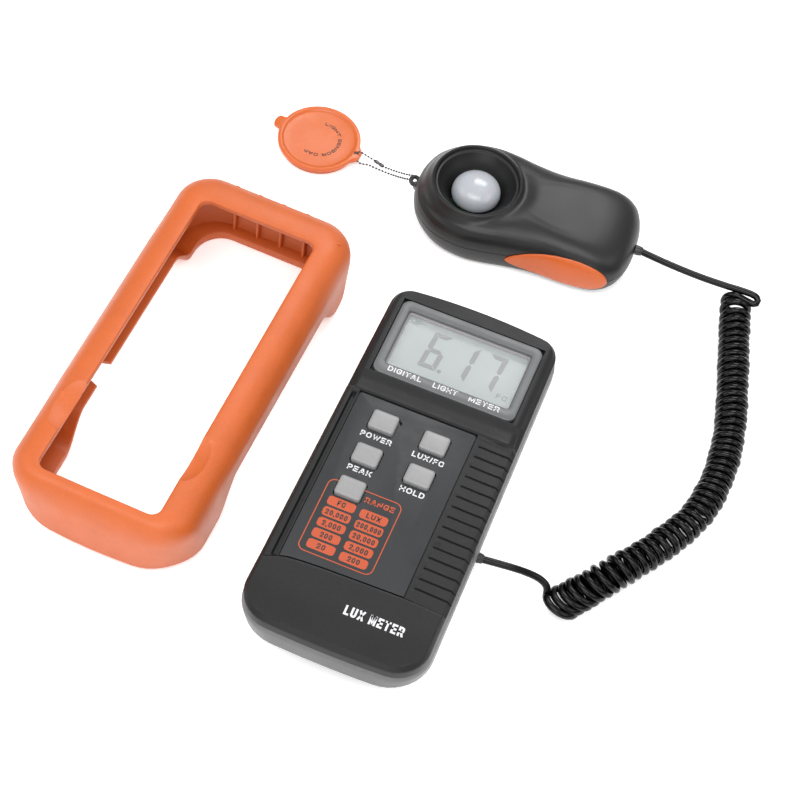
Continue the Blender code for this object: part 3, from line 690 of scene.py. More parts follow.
def front_case():
    """The upper half of the case as one closed body: face, holes, wall, inside and ceiling."""
    inner_columns, rows = face_lines()
    reach_bottom = REACH_BOTTOM - FACE_INSET
    reach_top = REACH_TOP - FACE_INSET
    plan = []
    for y in rows:
        wide = case_half_width(y, reach_bottom, reach_top, HALF_WIDTH - FACE_INSET,
                               CORNER_R_BOTTOM - FACE_INSET, CORNER_R_TOP - FACE_INSET)
        edge = inner_columns[-1]
        outer = [max(edge + (wide - edge) * t, 0.0) for t in OUTER_SHARES[1:]]
        if wide < edge + 0.2:
            outer = [wide] * (len(OUTER_SHARES) - 1)
        line = [-x for x in reversed(outer)] + inner_columns + outer
        plan.append([max(-wide, min(wide, x)) for x in line])
    width = len(plan[0])
    holes = [grown(WINDOW_BOX, WINDOW_CLEARANCE)] + [key_box(name, CLEARANCE) for name in BUTTONS]

    def is_hole(j, i):
        x = (plan[j][i] + plan[j][i + 1]) / 2
        y = (rows[j] + rows[j + 1]) / 2
        return any(inside(box, x, y) for box in holes)

    top = []
    bottom = []
    for j, y in enumerate(rows):
        for x in plan[j]:
            px, py = bowed(x, bent(x, y))
            top.append((px, py, face_height(x, y)))
            bottom.append((px, py, CEILING_Z))
    verts = top + bottom
    deep = len(top)
    faces = []
    solid = [[not is_hole(j, i) for i in range(width - 1)] for j in range(len(rows) - 1)]
    for j in range(len(rows) - 1):
        for i in range(width - 1):
            if not solid[j][i]:
                continue
            a = j * width + i
            quad = (a, a + 1, a + width + 1, a + width)
            faces.append(quad)
            faces.append(tuple(k + deep for k in reversed(quad)))
            sides = [(j > 0, j - 1, i, a, a + 1), (j < len(rows) - 2, j + 1, i, a + width, a + width + 1),
                     (i > 0, j, i - 1, a, a + width), (i < width - 2, j, i + 1, a + 1, a + width + 1)]
            for within, row, column, p, q in sides:
                if within and not solid[row][column]:
                    faces.append((p, q, q + deep, p + deep))
    loop = list(range(width))
    loop += [j * width + width - 1 for j in range(1, len(rows))]
    loop += [(len(rows) - 1) * width + i for i in range(width - 2, -1, -1)]
    loop += [j * width for j in range(len(rows) - 2, 0, -1)]
    kept = [loop[0]]
    for index in loop[1:]:
        if (Vector(top[index]) - Vector(top[kept[-1]])).xy.length > 0.01:
            kept.append(index)
    # offset outwards, height, and how much of the face's own drop it follows
    rim = [(0.12, 29.96, 1.0), (0.24, 29.88, 1.0), (0.36, 29.74, 1.0), (0.95, 28.95, 0.9), (1.3, 28.4, 0.7),
           (1.42, 28.1, 0.5), (1.5, 27.6, 0.3), (1.56, 26.6, 0.1), (1.64, SEAM_Z + 0.12, 0.0),
           (1.56, SEAM_Z, 0.0), (-0.4, SEAM_Z, 0.0)]
    count = len(kept)
    normals = []
    for n in range(count):
        before = Vector(top[kept[n - 1]]).xy
        after = Vector(top[kept[(n + 1) % count]]).xy
        along = (after - before).normalized()
        normals.append(Vector((along.y, -along.x)))
    rings = [kept]
    for offset, z, follow in rim:
        ring = []
        for n, index in enumerate(kept):
            x, y, height = top[index]
            drop = (height - FACE_Z) * follow
            spot = Vector((x, y)) + normals[n] * (offset + 0.35 * min(drop + 0.6, 0.0))
            verts.append((spot.x, spot.y, z + drop))
            ring.append(len(verts) - 1)
        rings.append(ring)
    rings.append([index + deep for index in kept])
    for low_ring, high_ring in zip(rings, rings[1:]):
        for n in range(count):
            m = (n + 1) % count
            faces.append((low_ring[n], low_ring[m], high_ring[m], high_ring[n]))
    piece("front_case", (verts, faces), "case_grey", "meter", ("front_shell",), 30.0, weld=0.004)


WAIST_Z = 16.5
REAR_TOP_Z = 24.0
CORNER_STEPS = 10
SIDE_STEPS = 20
END_STEPS = 7


def rear_outline(side, bottom, top, corner=0.0):
    """The rear shell's outline, drawn in at its sides, its foot and its top."""
    half = HALF_WIDTH - side
    low = -REACH_BOTTOM + bottom
    high = REACH_TOP - top
    r_low = max(CORNER_R_BOTTOM + corner - side, 4.0)
    r_high = max(CORNER_R_TOP - side, 4.0)
    turns = [math.radians(90.0 * s / CORNER_STEPS) for s in range(CORNER_STEPS + 1)]
    heights = [low + r_low * (1.0 - math.cos(turn)) for turn in turns]
    heights += [low + r_low + (high - r_high - low - r_low) * k / SIDE_STEPS for k in range(1, SIDE_STEPS)]
    heights += [high - r_high + r_high * math.sin(turn) for turn in turns]
    right = [(case_half_width(y, -low, high, half, r_low, r_high), y) for y in heights]
    points = [(right[0][0] * (k / END_STEPS - 1.0), low) for k in range(1, 2 * END_STEPS)]
    points += right
    points += [(right[-1][0] * (1.0 - k / END_STEPS), high) for k in range(1, 2 * END_STEPS)]
    points += [(-x, y) for x, y in reversed(right)]
    return [(x, y + (x / half) ** 2 * (BOW_BOTTOM if y < 0 else -BOW_TOP)) for x, y in points]


def rear_ring(z, extra=0.0):
    """The rear shell's outline at a height: it draws in below the waist. extra draws it in all round."""
    share = max(0.0, 1.0 - z / WAIST_Z)
    corner = REAR_CORNER_MORE * share + 3.0 * smooth01((REAR_TOP_Z - z) / 9.0)
    outline = rear_outline(4.0 * share + extra, 12.0 * share + extra, 5.0 * share + extra, corner)
    return at_height(outline, z)


def keycaps():
    """Slightly domed caps with rounded edges, each on a hidden flange."""
    for name in BUTTONS:
        rings = []
        for margin, z, r in ((1.1, 26.2, 1.2), (1.1, 27.0, 1.2), (0.0, 27.0, 1.1), (0.0, 30.75, 1.1),
                             (-0.08, 31.0, 1.05), (-0.24, 31.2, 1.0), (-0.5, 31.34, 0.95),
                             (-1.0, 31.42, 0.9), (-2.0, 31.48, 0.8), (-3.0, 31.5, 0.4)):
            rings.append(at_height(rounded_box(key_box(name, margin), r), z))
        piece(f"keycap_{name}", skin(rings), "key_grey", f"button_{name}", (f"button_{name}",), 40.0)


def display_bezel():
    """The frame round the window, with a slope down to the glass."""
    profile = [(FRAME_BOX, 0.0, 28.8, 3.0), (FRAME_BOX, 0.0, 29.85, 3.0), (FRAME_BOX, -0.12, 30.05, 2.9),
               (FRAME_BOX, -0.35, 30.15, 2.7), (WINDOW_BOX, 0.55, 30.15, 1.3), (WINDOW_BOX, 0.3, 30.02, 1.15),
               (WINDOW_BOX, 0.06, 29.55, 1.0), (WINDOW_BOX, 0.0, 28.8, 1.0)]
    rings = [at_height(rounded_box(grown(box, margin), r, 8), z) for box, margin, z, r in profile]
    piece("display_bezel", skin(rings, cyclic=True), "frame_grey", "meter", ("display_frame",), 40.0)


def window_liner():
    """Pale sleeve round the glass, seen below the bezel."""
    profile = [(0.9, 27.0), (0.9, 28.7), (-0.06, 28.7), (-0.12, 28.6), (-0.2, 27.2), (-0.1, 27.0)]
    rings = [at_height(rounded_box(grown(WINDOW_BOX, margin), 1.1, 8), z) for margin, z in profile]
    piece("window_liner", skin(rings, cyclic=True), "frame_grey", "meter", (), 40.0, paint="liner_grey")


def panel_face():
    """The key panel: its lower edge follows the lower end, with a window round each key."""
    x0, x1, y0, y1 = PANEL_BOX
    corner = 1.0

    def outline(inset):
        points = []
        for k in range(29):
            x = x0 + inset + (x1 - x0 - 2.0 * inset) * k / 28
            points.append((x, read_table(PAD_EDGE, x) + 0.32 + inset))
        for cx, cy, start in ((x1 - corner, y1 - corner, 0.0), (x0 + corner, y1 - corner, 90.0)):
            for k in range(7):
                points.append(polar(cx, cy, corner - inset, math.radians(start + 15.0 * k)))
        return points

    rings = [at_height(outline(inset), z) for inset, z in ((0.0, 29.1), (0.0, PANEL_Z - 0.12),
                                                           (0.05, PANEL_Z - 0.03), (0.13, PANEL_Z))]
    verts, faces = skin(rings, capped=False)
    width = len(rings[0])
    faces.append(tuple(reversed(range(width))))
    faces.append(tuple(range(3 * width, 4 * width)))
    panel = piece("panel_face", (verts, faces), "panel_dark", "meter", ("key_panel",), 30.0)
    holes = [rounded_box(key_box(name, 0.38), 1.3) for name in BUTTONS]
    holes.append(rounded_box((-11.0, -7.75, 10.1, 16.5), 0.45, 3))
    cut_away(panel, [slab(hole, 27.0, 31.0) for hole in holes])
    floor = rounded_box((-10.0, -7.8, 10.15, 16.45), 0.4, 3)
    piece("power_slot", slab(floor, 28.72, 28.95), "gland_black", "meter", (), 30.0)


# left side and lit bars of each digit
DIGITS = [(-11.15, "afgedc"), (-0.75, "bc"), (9.35, "abc")]
LCD_Z = 26.8
DIGIT_WIDTH = 4.75
DIGIT_HEIGHT = 13.5
SEGMENT_HALF = 0.9


def segment(key):
    """Outline of one bar of a seven-segment digit, its ends cut slantwise to meet its neighbours."""
    w = DIGIT_WIDTH
    tall = DIGIT_HEIGHT
    h = SEGMENT_HALF
    gap = 0.14
    middle = tall / 2
    upper = [(-h, tall + h - gap), (-h, middle + h * 0.8 + gap), (0.0, middle + gap), (h, middle + h + gap),
             (h, tall - h - gap)]
    bar = [(-h + gap, tall + h), (h + gap, tall - h), (w - h - gap, tall - h), (w + h - gap, tall + h)]
    if key in "fbec":
        mirrored = [(w - x if key in "bc" else x, tall - y if key in "ec" else y) for x, y in upper]
        return mirrored if key in "fc" else mirrored[::-1]
    if key in "ad":
        return bar if key == "a" else [(x, tall - y) for x, y in reversed(bar)]
    return [(gap, middle), (h, middle - h), (w - h, middle - h), (w - gap, middle), (w - h, middle + h),
            (h, middle + h)]


def lcd_print():
    """Slanted seven-segment digits, a decimal point and two small signs on the glass."""
    parts = []
    low = 43.1
    for left, lit in DIGITS:
        for key in lit:
            outline = []
            for x, y in segment(key):
                outline.append((left + x + 0.075 * (y - DIGIT_HEIGHT / 2), low + y))
            parts.append(slab(outline, LCD_Z + 0.01, LCD_Z + 0.06))
    parts.append(slab(circle(-4.75, 42.75, 0.78, 20), LCD_Z + 0.01, LCD_Z + 0.06))
    piece("lcd_digits", merged(*parts), "lcd_glass", "meter", (), 30.0, paint="lcd_ink")
    box = (-20.3, -17.1, 57.3, 59.6)
    outer = rounded_box(box, 0.4, 3)
    inner = rounded_box(grown(box, -0.22), 0.25, 3)
    signs = merged(rim(outer, inner, LCD_Z + 0.01, LCD_Z + 0.05),
                   lettering("H", (-19.35, -18.05), 57.75, 1.4, LCD_Z + 0.01, LCD_Z + 0.05, 0.1),
                   lettering("FC", (16.5, 20.3), 40.9, 2.0, LCD_Z + 0.01, LCD_Z + 0.05, 0.09))
    piece("lcd_signs", signs, "lcd_glass", "meter", (), 30.0, paint="lcd_faint")


# width of each letter, and its strokes as (across, up, corner radius) in shares of the letter's box
GLYPHS = {
    "A": (1.0, [[(0, 0), (0.42, 1), (0.58, 1), (1, 0)], [(0.2, 0.27), (0.8, 0.27)]]),
    "C": (0.95, [[(1, 0.7), (1, 1, 0.45), (0, 1, 0.45), (0, 0, 0.45), (1, 0, 0.45), (1, 0.3)]]),
    "D": (0.95, [[(0, 0), (1, 0, 0.5), (1, 1, 0.5), (0, 1), (0, 0)]]),
    "E": (0.85, [[(1, 1), (0, 1), (0, 0), (1, 0)], [(0, 0.5), (0.9, 0.5)]]),
    "F": (0.8, [[(1, 1), (0, 1), (0, 0)], [(0, 0.47), (0.85, 0.47)]]),
    "G": (1.0, [[(1, 0.74), (1, 1, 0.45), (0, 1, 0.45), (0, 0, 0.45), (1, 0, 0.35), (1, 0.44), (0.6, 0.44)]]),
    "H": (0.95, [[(0, 0), (0, 1)], [(1, 0), (1, 1)], [(0, 0.5), (1, 0.5)]]),
    "I": (0.22, [[(0.5, 0), (0.5, 1)]]),
    "K": (0.95, [[(0, 0), (0, 1)], [(0.95, 1), (0.1, 0.38)], [(0.4, 0.6), (1, 0)]]),
    "L": (0.8, [[(0, 1), (0, 0), (1, 0)]]),
    "M": (1.1, [[(0, 0), (0, 1)], [(1, 0), (1, 1)], [(0.05, 0.95), (0.5, 0.1), (0.95, 0.95)]]),
    "N": (0.95, [[(0, 0), (0, 1)], [(1, 0), (1, 1)], [(0.03, 0.95), (0.97, 0.05)]]),
    "O": (1.05, [[(0, 0, 0.5), (1, 0, 0.5), (1, 1, 0.5), (0, 1, 0.5), (0, 0, 0.5)]]),
    "P": (0.85, [[(0, 0), (0, 1), (1, 1, 0.3), (1, 0.42, 0.3), (0, 0.42)]]),
    "R": (0.95, [[(0, 0), (0, 1), (0.95, 1, 0.3), (0.95, 0.45, 0.3), (0, 0.45)], [(0.55, 0.42), (1, 0)]]),
    "S": (0.88, [[(1, 0.78), (1, 1, 0.3), (0, 1, 0.3), (0, 0.52, 0.3), (1, 0.48, 0.3), (1, 0, 0.3),
                  (0, 0, 0.3), (0, 0.22)]]),
    "T": (0.9, [[(0, 1), (1, 1)], [(0.5, 0), (0.5, 1)]]),
    "U": (0.95, [[(0, 1), (0, 0, 0.45), (1, 0, 0.45), (1, 1)]]),
    "W": (1.35, [[(0, 1), (0.26, 0.04), (0.5, 0.9), (0.74, 0.04), (1, 1)]]),
    "X": (0.95, [[(0, 0), (1, 1)], [(0, 1), (1, 0)]]),
    "0": (0.78, [[(0, 0, 0.5), (1, 0, 0.5), (1, 1, 0.5), (0, 1, 0.5), (0, 0, 0.5)]]),
    "2": (0.78, [[(0, 0.74), (0, 1, 0.4), (1, 1, 0.4), (1, 0.55, 0.3), (0, 0), (1, 0)]]),
    ",": (0.24, [[(0.6, 0.02), (0.3, -0.16)]]),
    "/": (0.42, [[(0, 0), (1, 1)]]),
    " ": (0.35, []),
}
LETTER_GAP = 0.24


def stroke(points, half, low, high):
    """A flat bar of even width along a path; a path that ends where it starts is closed. Points may carry
    a corner radius."""
    closed = points[0][:2] == points[-1][:2]
    corners = points[:-1] if closed else points
    count = len(corners)
    path = []
    for i, (x, y, *radius) in enumerate(corners):
        spot = Vector((x, y))
        if not radius:
            path.append(spot)
            continue
        back = Vector(corners[i - 1][:2]) - spot
        ahead = Vector(corners[(i + 1) % count][:2]) - spot
        first = spot + back.normalized() * min(radius[0], back.length / 2)
        last = spot + ahead.normalized() * min(radius[0], ahead.length / 2)
        for step in range(6):
            t = step / 5
            path.append(first.lerp(spot, t).lerp(spot.lerp(last, t), t))
    path = [p for i, p in enumerate(path) if i == 0 or (p - path[i - 1]).length > 1e-4]
    if closed and (path[0] - path[-1]).length < 1e-4:
        path.pop()
    count = len(path)
    rings = []
    for i, spot in enumerate(path):
        into = (spot - path[i - 1]).normalized() if i or closed else (path[1] - spot).normalized()
        out = (path[(i + 1) % count] - spot).normalized() if i < count - 1 or closed else into
        along = (into + out).normalized()
        side = Vector((-along.y, along.x)) * half / max(along.dot(into), 0.62)
        if not closed and i in (0, count - 1):
            spot = spot + along * (half if i else -half)
        left = spot + side
        right = spot - side
        rings.append([(*left, low), (*right, low), (*right, high), (*left, high)])
    return skin(rings, cyclic=closed)


def lettering(text, across, baseline, cap_height, low, high, weight=0.1):
    """Wide block letters drawn with strokes, spaced to fill a width. weight is half a stroke's share of
    the height."""
    half = weight * cap_height
    total = sum(GLYPHS[letter][0] for letter in text) + LETTER_GAP * (len(text) - 1)
    unit = (across[1] - across[0]) / total
    x = across[0]
    parts = []
    for letter in text:
        wide, strokes = GLYPHS[letter]
        for points in strokes:
            placed = []
            for u, v, *radius in points:
                spot = (x + half + u * (wide * unit - 2 * half),
                        baseline + half + v * (cap_height - 2 * half))
                placed.append((*spot, *[r * min(wide * unit, cap_height) for r in radius]))
            parts.append(stroke(placed, half, low, high))
        x += (wide + LETTER_GAP) * unit
    return merged(*parts)


# text, its left and right ends, its baseline
LABELS = [("POWER", (-19.2, -8.2), 6.25), ("PEAK", (-18.2, -9.7), -7.6), ("LUX/FC", (-0.6, 10.5), 5.85),
          ("HOLD", (0.5, 9.1), -8.1)]
# text and its width, from the top row down
PILLS_LEFT = [("FC", 2.7), ("20,000", 7.6), ("2,000", 6.4), ("200", 4.2), ("20", 2.9)]
PILLS_RIGHT = [("LUX", 5.0), ("200,000", 8.4), ("20,000", 7.6), ("2,000", 6.4), ("200", 4.2)]
PILL_SIZE = (9.6, 3.5)
PILL_STEP = 4.32


def panel_print():
    """The words and the range table on the face."""
    low = PANEL_Z - 0.02
    high = PANEL_Z + 0.05
    labels = [lettering(text, across, baseline, 2.1, low, high) for text, across, baseline in LABELS]
    for text, across in (("DIGITAL", (-20.4, -8.3)), ("LIGHT", (-4.1, 4.6)), ("METER", (8.9, 19.9))):
        labels.append(lettering(text, across, 33.7, 2.05, 30.13, 30.2, 0.095))
    labels.append(lettering("LUX METER", (1.2, 21.4), -57.6, 3.5, 29.7, 30.12, 0.1))
    piece("print_labels", merged(*labels), "white_plastic", "meter", (), 30.0, paint="print_white")
    box = (-21.6, 4.25, -41.75, -12.85)
    outer = rounded_box(box, 2.6, 8)
    inner = rounded_box(grown(box, -0.34), 2.3, 8)
    border = rim(outer, inner, low, high)
    word = lettering("RANGE", (-8.1, 2.2), -17.1, 2.1, low, high)
    pills = []
    inks = []
    half_w = PILL_SIZE[0] / 2
    half_h = PILL_SIZE[1] / 2
    for column, top, names in ((-14.35, -20.95, PILLS_LEFT), (-2.95, -21.25, PILLS_RIGHT)):
        for row, (text, wide) in enumerate(names):
            y = top - PILL_STEP * row
            pill = rounded_box((column - half_w, column + half_w, y - half_h, y + half_h), 1.1)
            pills.append(slab(pill, low, high))
            span = (column - wide / 2, column + wide / 2)
            inks.append(lettering(text, span, y - 1.0, 2.0, high, high + 0.03, 0.105))
    piece("print_range", merged(border, word, *pills), "grip_orange", "meter", (), 30.0, paint="print_orange")
    piece("print_range_values", merged(*inks), "panel_dark", "meter", (), 30.0, paint="print_dark")


front_case()
keycaps()
display_bezel()
window_liner()
panel_face()
lcd_print()
panel_print()

# ---------------------------------------------------------------- sensor

HEAD_XY = (-22.95, 130.8)
SENSOR_TILT = math.radians(3.5)
SENSOR_MIDDLE_U = 20.0
# (u, v) from the head's end to the cord's end
SENSOR_HALF_OUTLINE = [(-22.0, 0.0), (-21.0, 7.5), (-17.5, 14.5), (-10.0, 20.6), (0.0, 23.0), (9.0, 22.4),
                       (18.0, 20.8), (30.0, 19.5), (43.0, 19.9), (53.0, 19.2), (58.5, 15.8), (61.3, 9.0),
                       (62.0, 0.0)]
SENSOR_SCREWS = [(-11.0, 0.0), (46.0, 11.0), (46.0, -11.0)]
MOUTH_R = 16.1
SPLIT_LOW = 9.88
SPLIT_HIGH = 10.12
# (share of the way from the middle to the outline, height)
SHELL_PROFILE = [(0.0, 20.75), (0.3, 20.7), (0.5, 20.45), (0.6, 20.1), (0.7, 19.5), (0.8, 18.55),
                 (0.88, 17.3), (0.94, 15.6), (0.975, 13.9), (0.993, 12.0), (1.0, SPLIT_HIGH)]
# (distance from the dome's axis, height)
COLLAR = [(16.1, 20.97), (16.25, 20.97), (16.5, 20.8), (16.8, 20.4), (17.2, 19.8), (17.6, 19.2), (18.2, 18.5),
          (18.9, 17.5), (19.8, 15.5), (21.0, 11.5), (22.0, 6.0), (60.0, 0.0)]


def to_world(u, v):
    """Sensor axes, u towards its cord end and v across, to plan coordinates."""
    return (HEAD_XY[0] + u * math.cos(SENSOR_TILT) - v * math.sin(SENSOR_TILT),
            HEAD_XY[1] + u * math.sin(SENSOR_TILT) + v * math.cos(SENSOR_TILT))


def closed_curve(points, steps):
    """Catmull-Rom curve through a closed run of plan points."""
    count = len(points)
    curve = []
    for i in range(count):
        a, b, c, d = (Vector(points[(i + k) % count]) for k in (-1, 0, 1, 2))
        curve += [catmull(a, b, c, d, step / steps) for step in range(steps)]
    return curve


def sensor_outline():
    near = [(u, -v) for u, v in SENSOR_HALF_OUTLINE]
    far = [(u, v) for u, v in reversed(SENSOR_HALF_OUTLINE[1:-1])]
    return closed_curve(near + far, 8)


OUTLINE = sensor_outline()
REACH = sorted((math.atan2(p.y, p.x - SENSOR_MIDDLE_U), math.hypot(p.x - SENSOR_MIDDLE_U, p.y))
               for p in OUTLINE)


def shell_height(u, v):
    """Height of the sensor's upper surface: a rounded body, sunk a little round the raised collar."""
    angle = math.atan2(v, u - SENSOR_MIDDLE_U)
    share = math.hypot(u - SENSOR_MIDDLE_U, v) / read_table(REACH, angle)
    tail = max(math.cos(angle), 0.0) ** 2
    share = max(1.0 - (1.0 - share) * (1.0 + 0.5 * tail), 0.0)
    away = math.hypot(u, v)
    body = read_table(SHELL_PROFILE, share) - 1.5 * (1.0 - smooth01((away - 16.0) / 7.5)) * (1.0 - share)
    collar = read_table(COLLAR, away)
    blend = 0.45
    top = max(body, collar)
    return top + blend * math.log(math.exp((body - top) / blend) + math.exp((collar - top) / blend)) - 0.02


def drawn_in(share, z):
    """The sensor's outline, drawn in towards its middle, at a height."""
    spots = [Vector((SENSOR_MIDDLE_U, 0.0)).lerp(p, share) for p in OUTLINE]
    return [(*to_world(spot.x, spot.y), z) for spot in spots]


def sensor_top():
    """The upper shell: rings from its outline in to the mouth of the light trap, then down inside."""
    rings = []
    steps = 34
    for j in range(steps + 1):
        ring = []
        for p in OUTLINE:
            angle = math.atan2(p.y, p.x)
            mouth = Vector((math.cos(angle), math.sin(angle))) * MOUTH_R
            reach = (mouth - p).length
            t = j / steps
            wide = smooth01((reach - 3.0) / 20.0)
            near_rim = (1.0 - wide) * (1.0 - (1.0 - t) ** 1.25) * t
            far_rim = wide * (t ** 2.2 * (1.0 - t) + t * (1.0 - (1.0 - t) ** 2.0))
            share = near_rim + far_rim
            spot = p.lerp(mouth, share)
            ring.append((*to_world(spot.x, spot.y), shell_height(spot.x, spot.y) if j else SPLIT_HIGH))
        rings.append(ring)
    well = []
    for p in OUTLINE:
        angle = math.atan2(p.y, p.x)
        well.append((*to_world(MOUTH_R * math.cos(angle), MOUTH_R * math.sin(angle)), 17.2))
    rings += [well, drawn_in(0.94, SPLIT_HIGH)]
    piece("sensor_cover", skin(rings, cyclic=True), "sensor_black", "sensor",
          ("sensor_top_shell",), 40.0)


def sensor_base():
    """The sensor's lower shell, with three screw holes."""
    profile = [(0.80, 2.4), (0.88, 4.5), (0.93, SPLIT_LOW), (1.0, SPLIT_LOW), (0.998, 8.6), (0.99, 6.8),
               (0.975, 5.0),
               (0.953, 3.3), (0.922, 1.8), (0.885, 0.7), (0.85, 0.15), (0.82, 0.0), (0.80, 0.0)]
    rings = [drawn_in(share, z) for share, z in profile]
    base = piece("sensor_base", skin(rings), "sensor_black", "sensor", ("sensor_bottom_shell",), 40.0)
    cut_away(base, [slab(circle(*to_world(u, v), 2.15, 32), -1.0, 2.1) for u, v in SENSOR_SCREWS])


def lathe(profile, centre, sides=96, cyclic=False):
    """A profile of (radius, height) turned about a vertical axis."""
    rings = [at_height(circle(*centre, max(r, 0.01), sides), z) for r, z in profile]
    return skin(rings, cyclic=cyclic)


def light_trap():
    """The black ring and cone that the dome sits in."""
    profile = [(15.98, 16.2), (15.98, 20.86), (15.9, 20.97), (15.8, 21.0), (15.66, 20.92), (15.55, 20.7),
               (15.42, 20.0), (15.25, 19.62), (14.95, 19.5), (14.6, 19.5), (14.38, 19.42), (14.22, 19.1),
               (14.05, 18.8), (12.5, 16.8), (10.9, 14.7), (10.0, 13.5), (9.5, 13.2), (9.22, 12.9),
               (9.22, 11.7), (12.0, 11.7), (15.4, 15.4)]
    piece("light_trap_cone", lathe(profile, HEAD_XY, 128, True), "sensor_black", "sensor",
          ("light_trap_ring",), 50.0)


DOME_R = 9.07
DOME_FOOT_Z = 14.0
DOME_RISE = 6.0
DOME_STEPS = 18


def diffuser():
    """The white dome over the photodiode."""
    outer = []
    for step in range(DOME_STEPS):
        angle = math.radians(90.0 * step / DOME_STEPS)
        outer.append((DOME_R * math.cos(angle) ** 0.92, DOME_FOOT_Z + DOME_RISE * math.sin(angle)))
    profile = [(7.7, 13.3), (9.0, 13.3), (DOME_R, 13.4), *outer, (0.0, DOME_FOOT_Z + DOME_RISE)]
    piece("dome", lathe(profile, (HEAD_XY[0] + 0.2, HEAD_XY[1]), 96), "dome_white", "sensor",
          ("diffuser_dome",), 50.0)


# (u, height) along a side grip's upper and lower edges
GRIP_TOP = [(18.2, 8.2), (18.7, 9.1), (19.7, 10.1), (21.4, 11.2), (24.0, 12.5), (27.5, 13.8), (32.3, 15.1),
            (37.6, 16.1), (43.0, 16.6), (47.5, 16.7), (50.9, 16.2), (53.2, 15.3), (54.8, 13.8), (55.7, 11.8),
            (56.0, 9.6)]
GRIP_BOTTOM = [(18.2, 8.2), (18.9, 7.3), (20.5, 6.2), (23.4, 5.0), (28.0, 3.7), (34.0, 2.9), (41.0, 2.7),
               (47.0, 3.2), (51.5, 4.2), (54.3, 5.9), (55.7, 8.0), (56.0, 9.6)]
GRIP_ACROSS = 16
GRIP_ALONG = 48
# (height, share of the outline) of the sensor's flank
BASE_PROFILE = [(0.0, 0.82), (0.7, 0.885), (1.8, 0.922), (3.3, 0.953), (5.0, 0.975), (6.8, 0.99),
                (8.6, 0.998), (SPLIT_HIGH, 1.0), (12.0, 0.993), (13.9, 0.975), (15.6, 0.94), (17.3, 0.88),
                (18.55, 0.8)]


def side_grip(name, side, replaced):
    """Lens-shaped soft pad that follows the shell's flank, a little proud of it with a rounded edge."""
    flank = [p for p in OUTLINE if p.y < 0 and 12.0 < p.x < 60.0]
    flank.sort(key=lambda p: p.x)
    table = [(p.x, p.y) for p in flank]
    rings = []
    for j in range(GRIP_ALONG + 1):
        u = 18.25 + 37.7 * (0.5 - 0.5 * math.cos(math.pi * (j / GRIP_ALONG)))
        v = read_table(table, u)
        slope = (read_table(table, u + 0.5) - read_table(table, u - 0.5))
        out = Vector((slope, -1.0)).normalized()
        low = read_table(GRIP_BOTTOM, u)
        high = read_table(GRIP_TOP, u)
        line = []
        rear = []
        for i in range(GRIP_ACROSS + 1):
            share = 0.5 - 0.5 * math.cos(math.pi * i / GRIP_ACROSS)
            z = low + (high - low) * share
            draw = read_table(BASE_PROFILE, z)
            spot = Vector((SENSOR_MIDDLE_U, 0.0)).lerp(Vector((u, v)), draw)
            edge = min(i, GRIP_ACROSS - i) / GRIP_ACROSS
            ends = min(u - 18.2, 56.05 - u) / 1.4
            proud = 0.30 + 0.42 * min(1.0, (2.0 * edge * 3.2) ** 0.6) * min(1.0, max(ends, 0.0)) ** 0.5
            place = spot + out * proud
            hidden = spot + out * 0.02
            line.append((*to_world(place.x, side * place.y), z))
            rear.append((*to_world(hidden.x, side * hidden.y), z))
        rings.append(line + list(reversed(rear)))
    piece(name, skin(rings), "grip_orange", "sensor", (replaced,), 50.0)


def ring_tube(centre, normal, major, minor, sides=32, around=12):
    """A small torus about an axis."""
    axis = Vector(normal).normalized()
    first = axis.orthogonal().normalized()
    second = axis.cross(first)
    rings = []
    for i in range(sides):
        angle = 2.0 * math.pi * i / sides
        out = first * math.cos(angle) + second * math.sin(angle)
        ring = []
        for k in range(around):
            turn = 2.0 * math.pi * k / around
            ring.append(Vector(centre) + out * (major + minor * math.cos(turn))
                        + axis * (minor * math.sin(turn)))
        rings.append(ring)
    return skin(rings, cyclic=True)


def small_fittings():
    """The chain's eyelet on the sensor, and the cord's two strain reliefs."""
    x, y = to_world(-23.2, 0.9)
    loop = ring_tube((x, y, 8.4), (0.35, -0.25, 1.0), 1.55, 0.8)
    stem = [Vector((*to_world(-22.9, -1.2), 8.1)), Vector((*to_world(-20.6, 0.2), 8.0))]
    root = skin(tube_rings(stem, 1.5, 16))
    piece("eyelet", merged(loop, root), "gland_black", "sensor", ("chain_eyelet",), 40.0)
    # each relief is a sleeve from start to end, thicker in the housing's wall
    for name, start, end, body, replaced in (
            ("strain_relief_sensor", (*to_world(62.0, 0.0), 10.0), (*to_world(64.7, 0.0), 10.0), "sensor",
             "cord_gland_sensor"),
            ("strain_relief_meter", (31.0, -12.0, 14.15), (33.6, -11.8, 14.0), "meter", "cord_gland_meter")):
        line = [Vector(start).lerp(Vector(end), t) for t in (0.0, 0.25, 0.5, 0.7, 0.9, 1.0)]
        sleeve = skin(tube_rings(line, [1.85, 1.85, 1.8, 1.7, 1.6, 1.45], 32))
        piece(name, sleeve, "gland_black", body, (replaced,), 40.0)


# ---------------------------------------------------------------- cap and chain

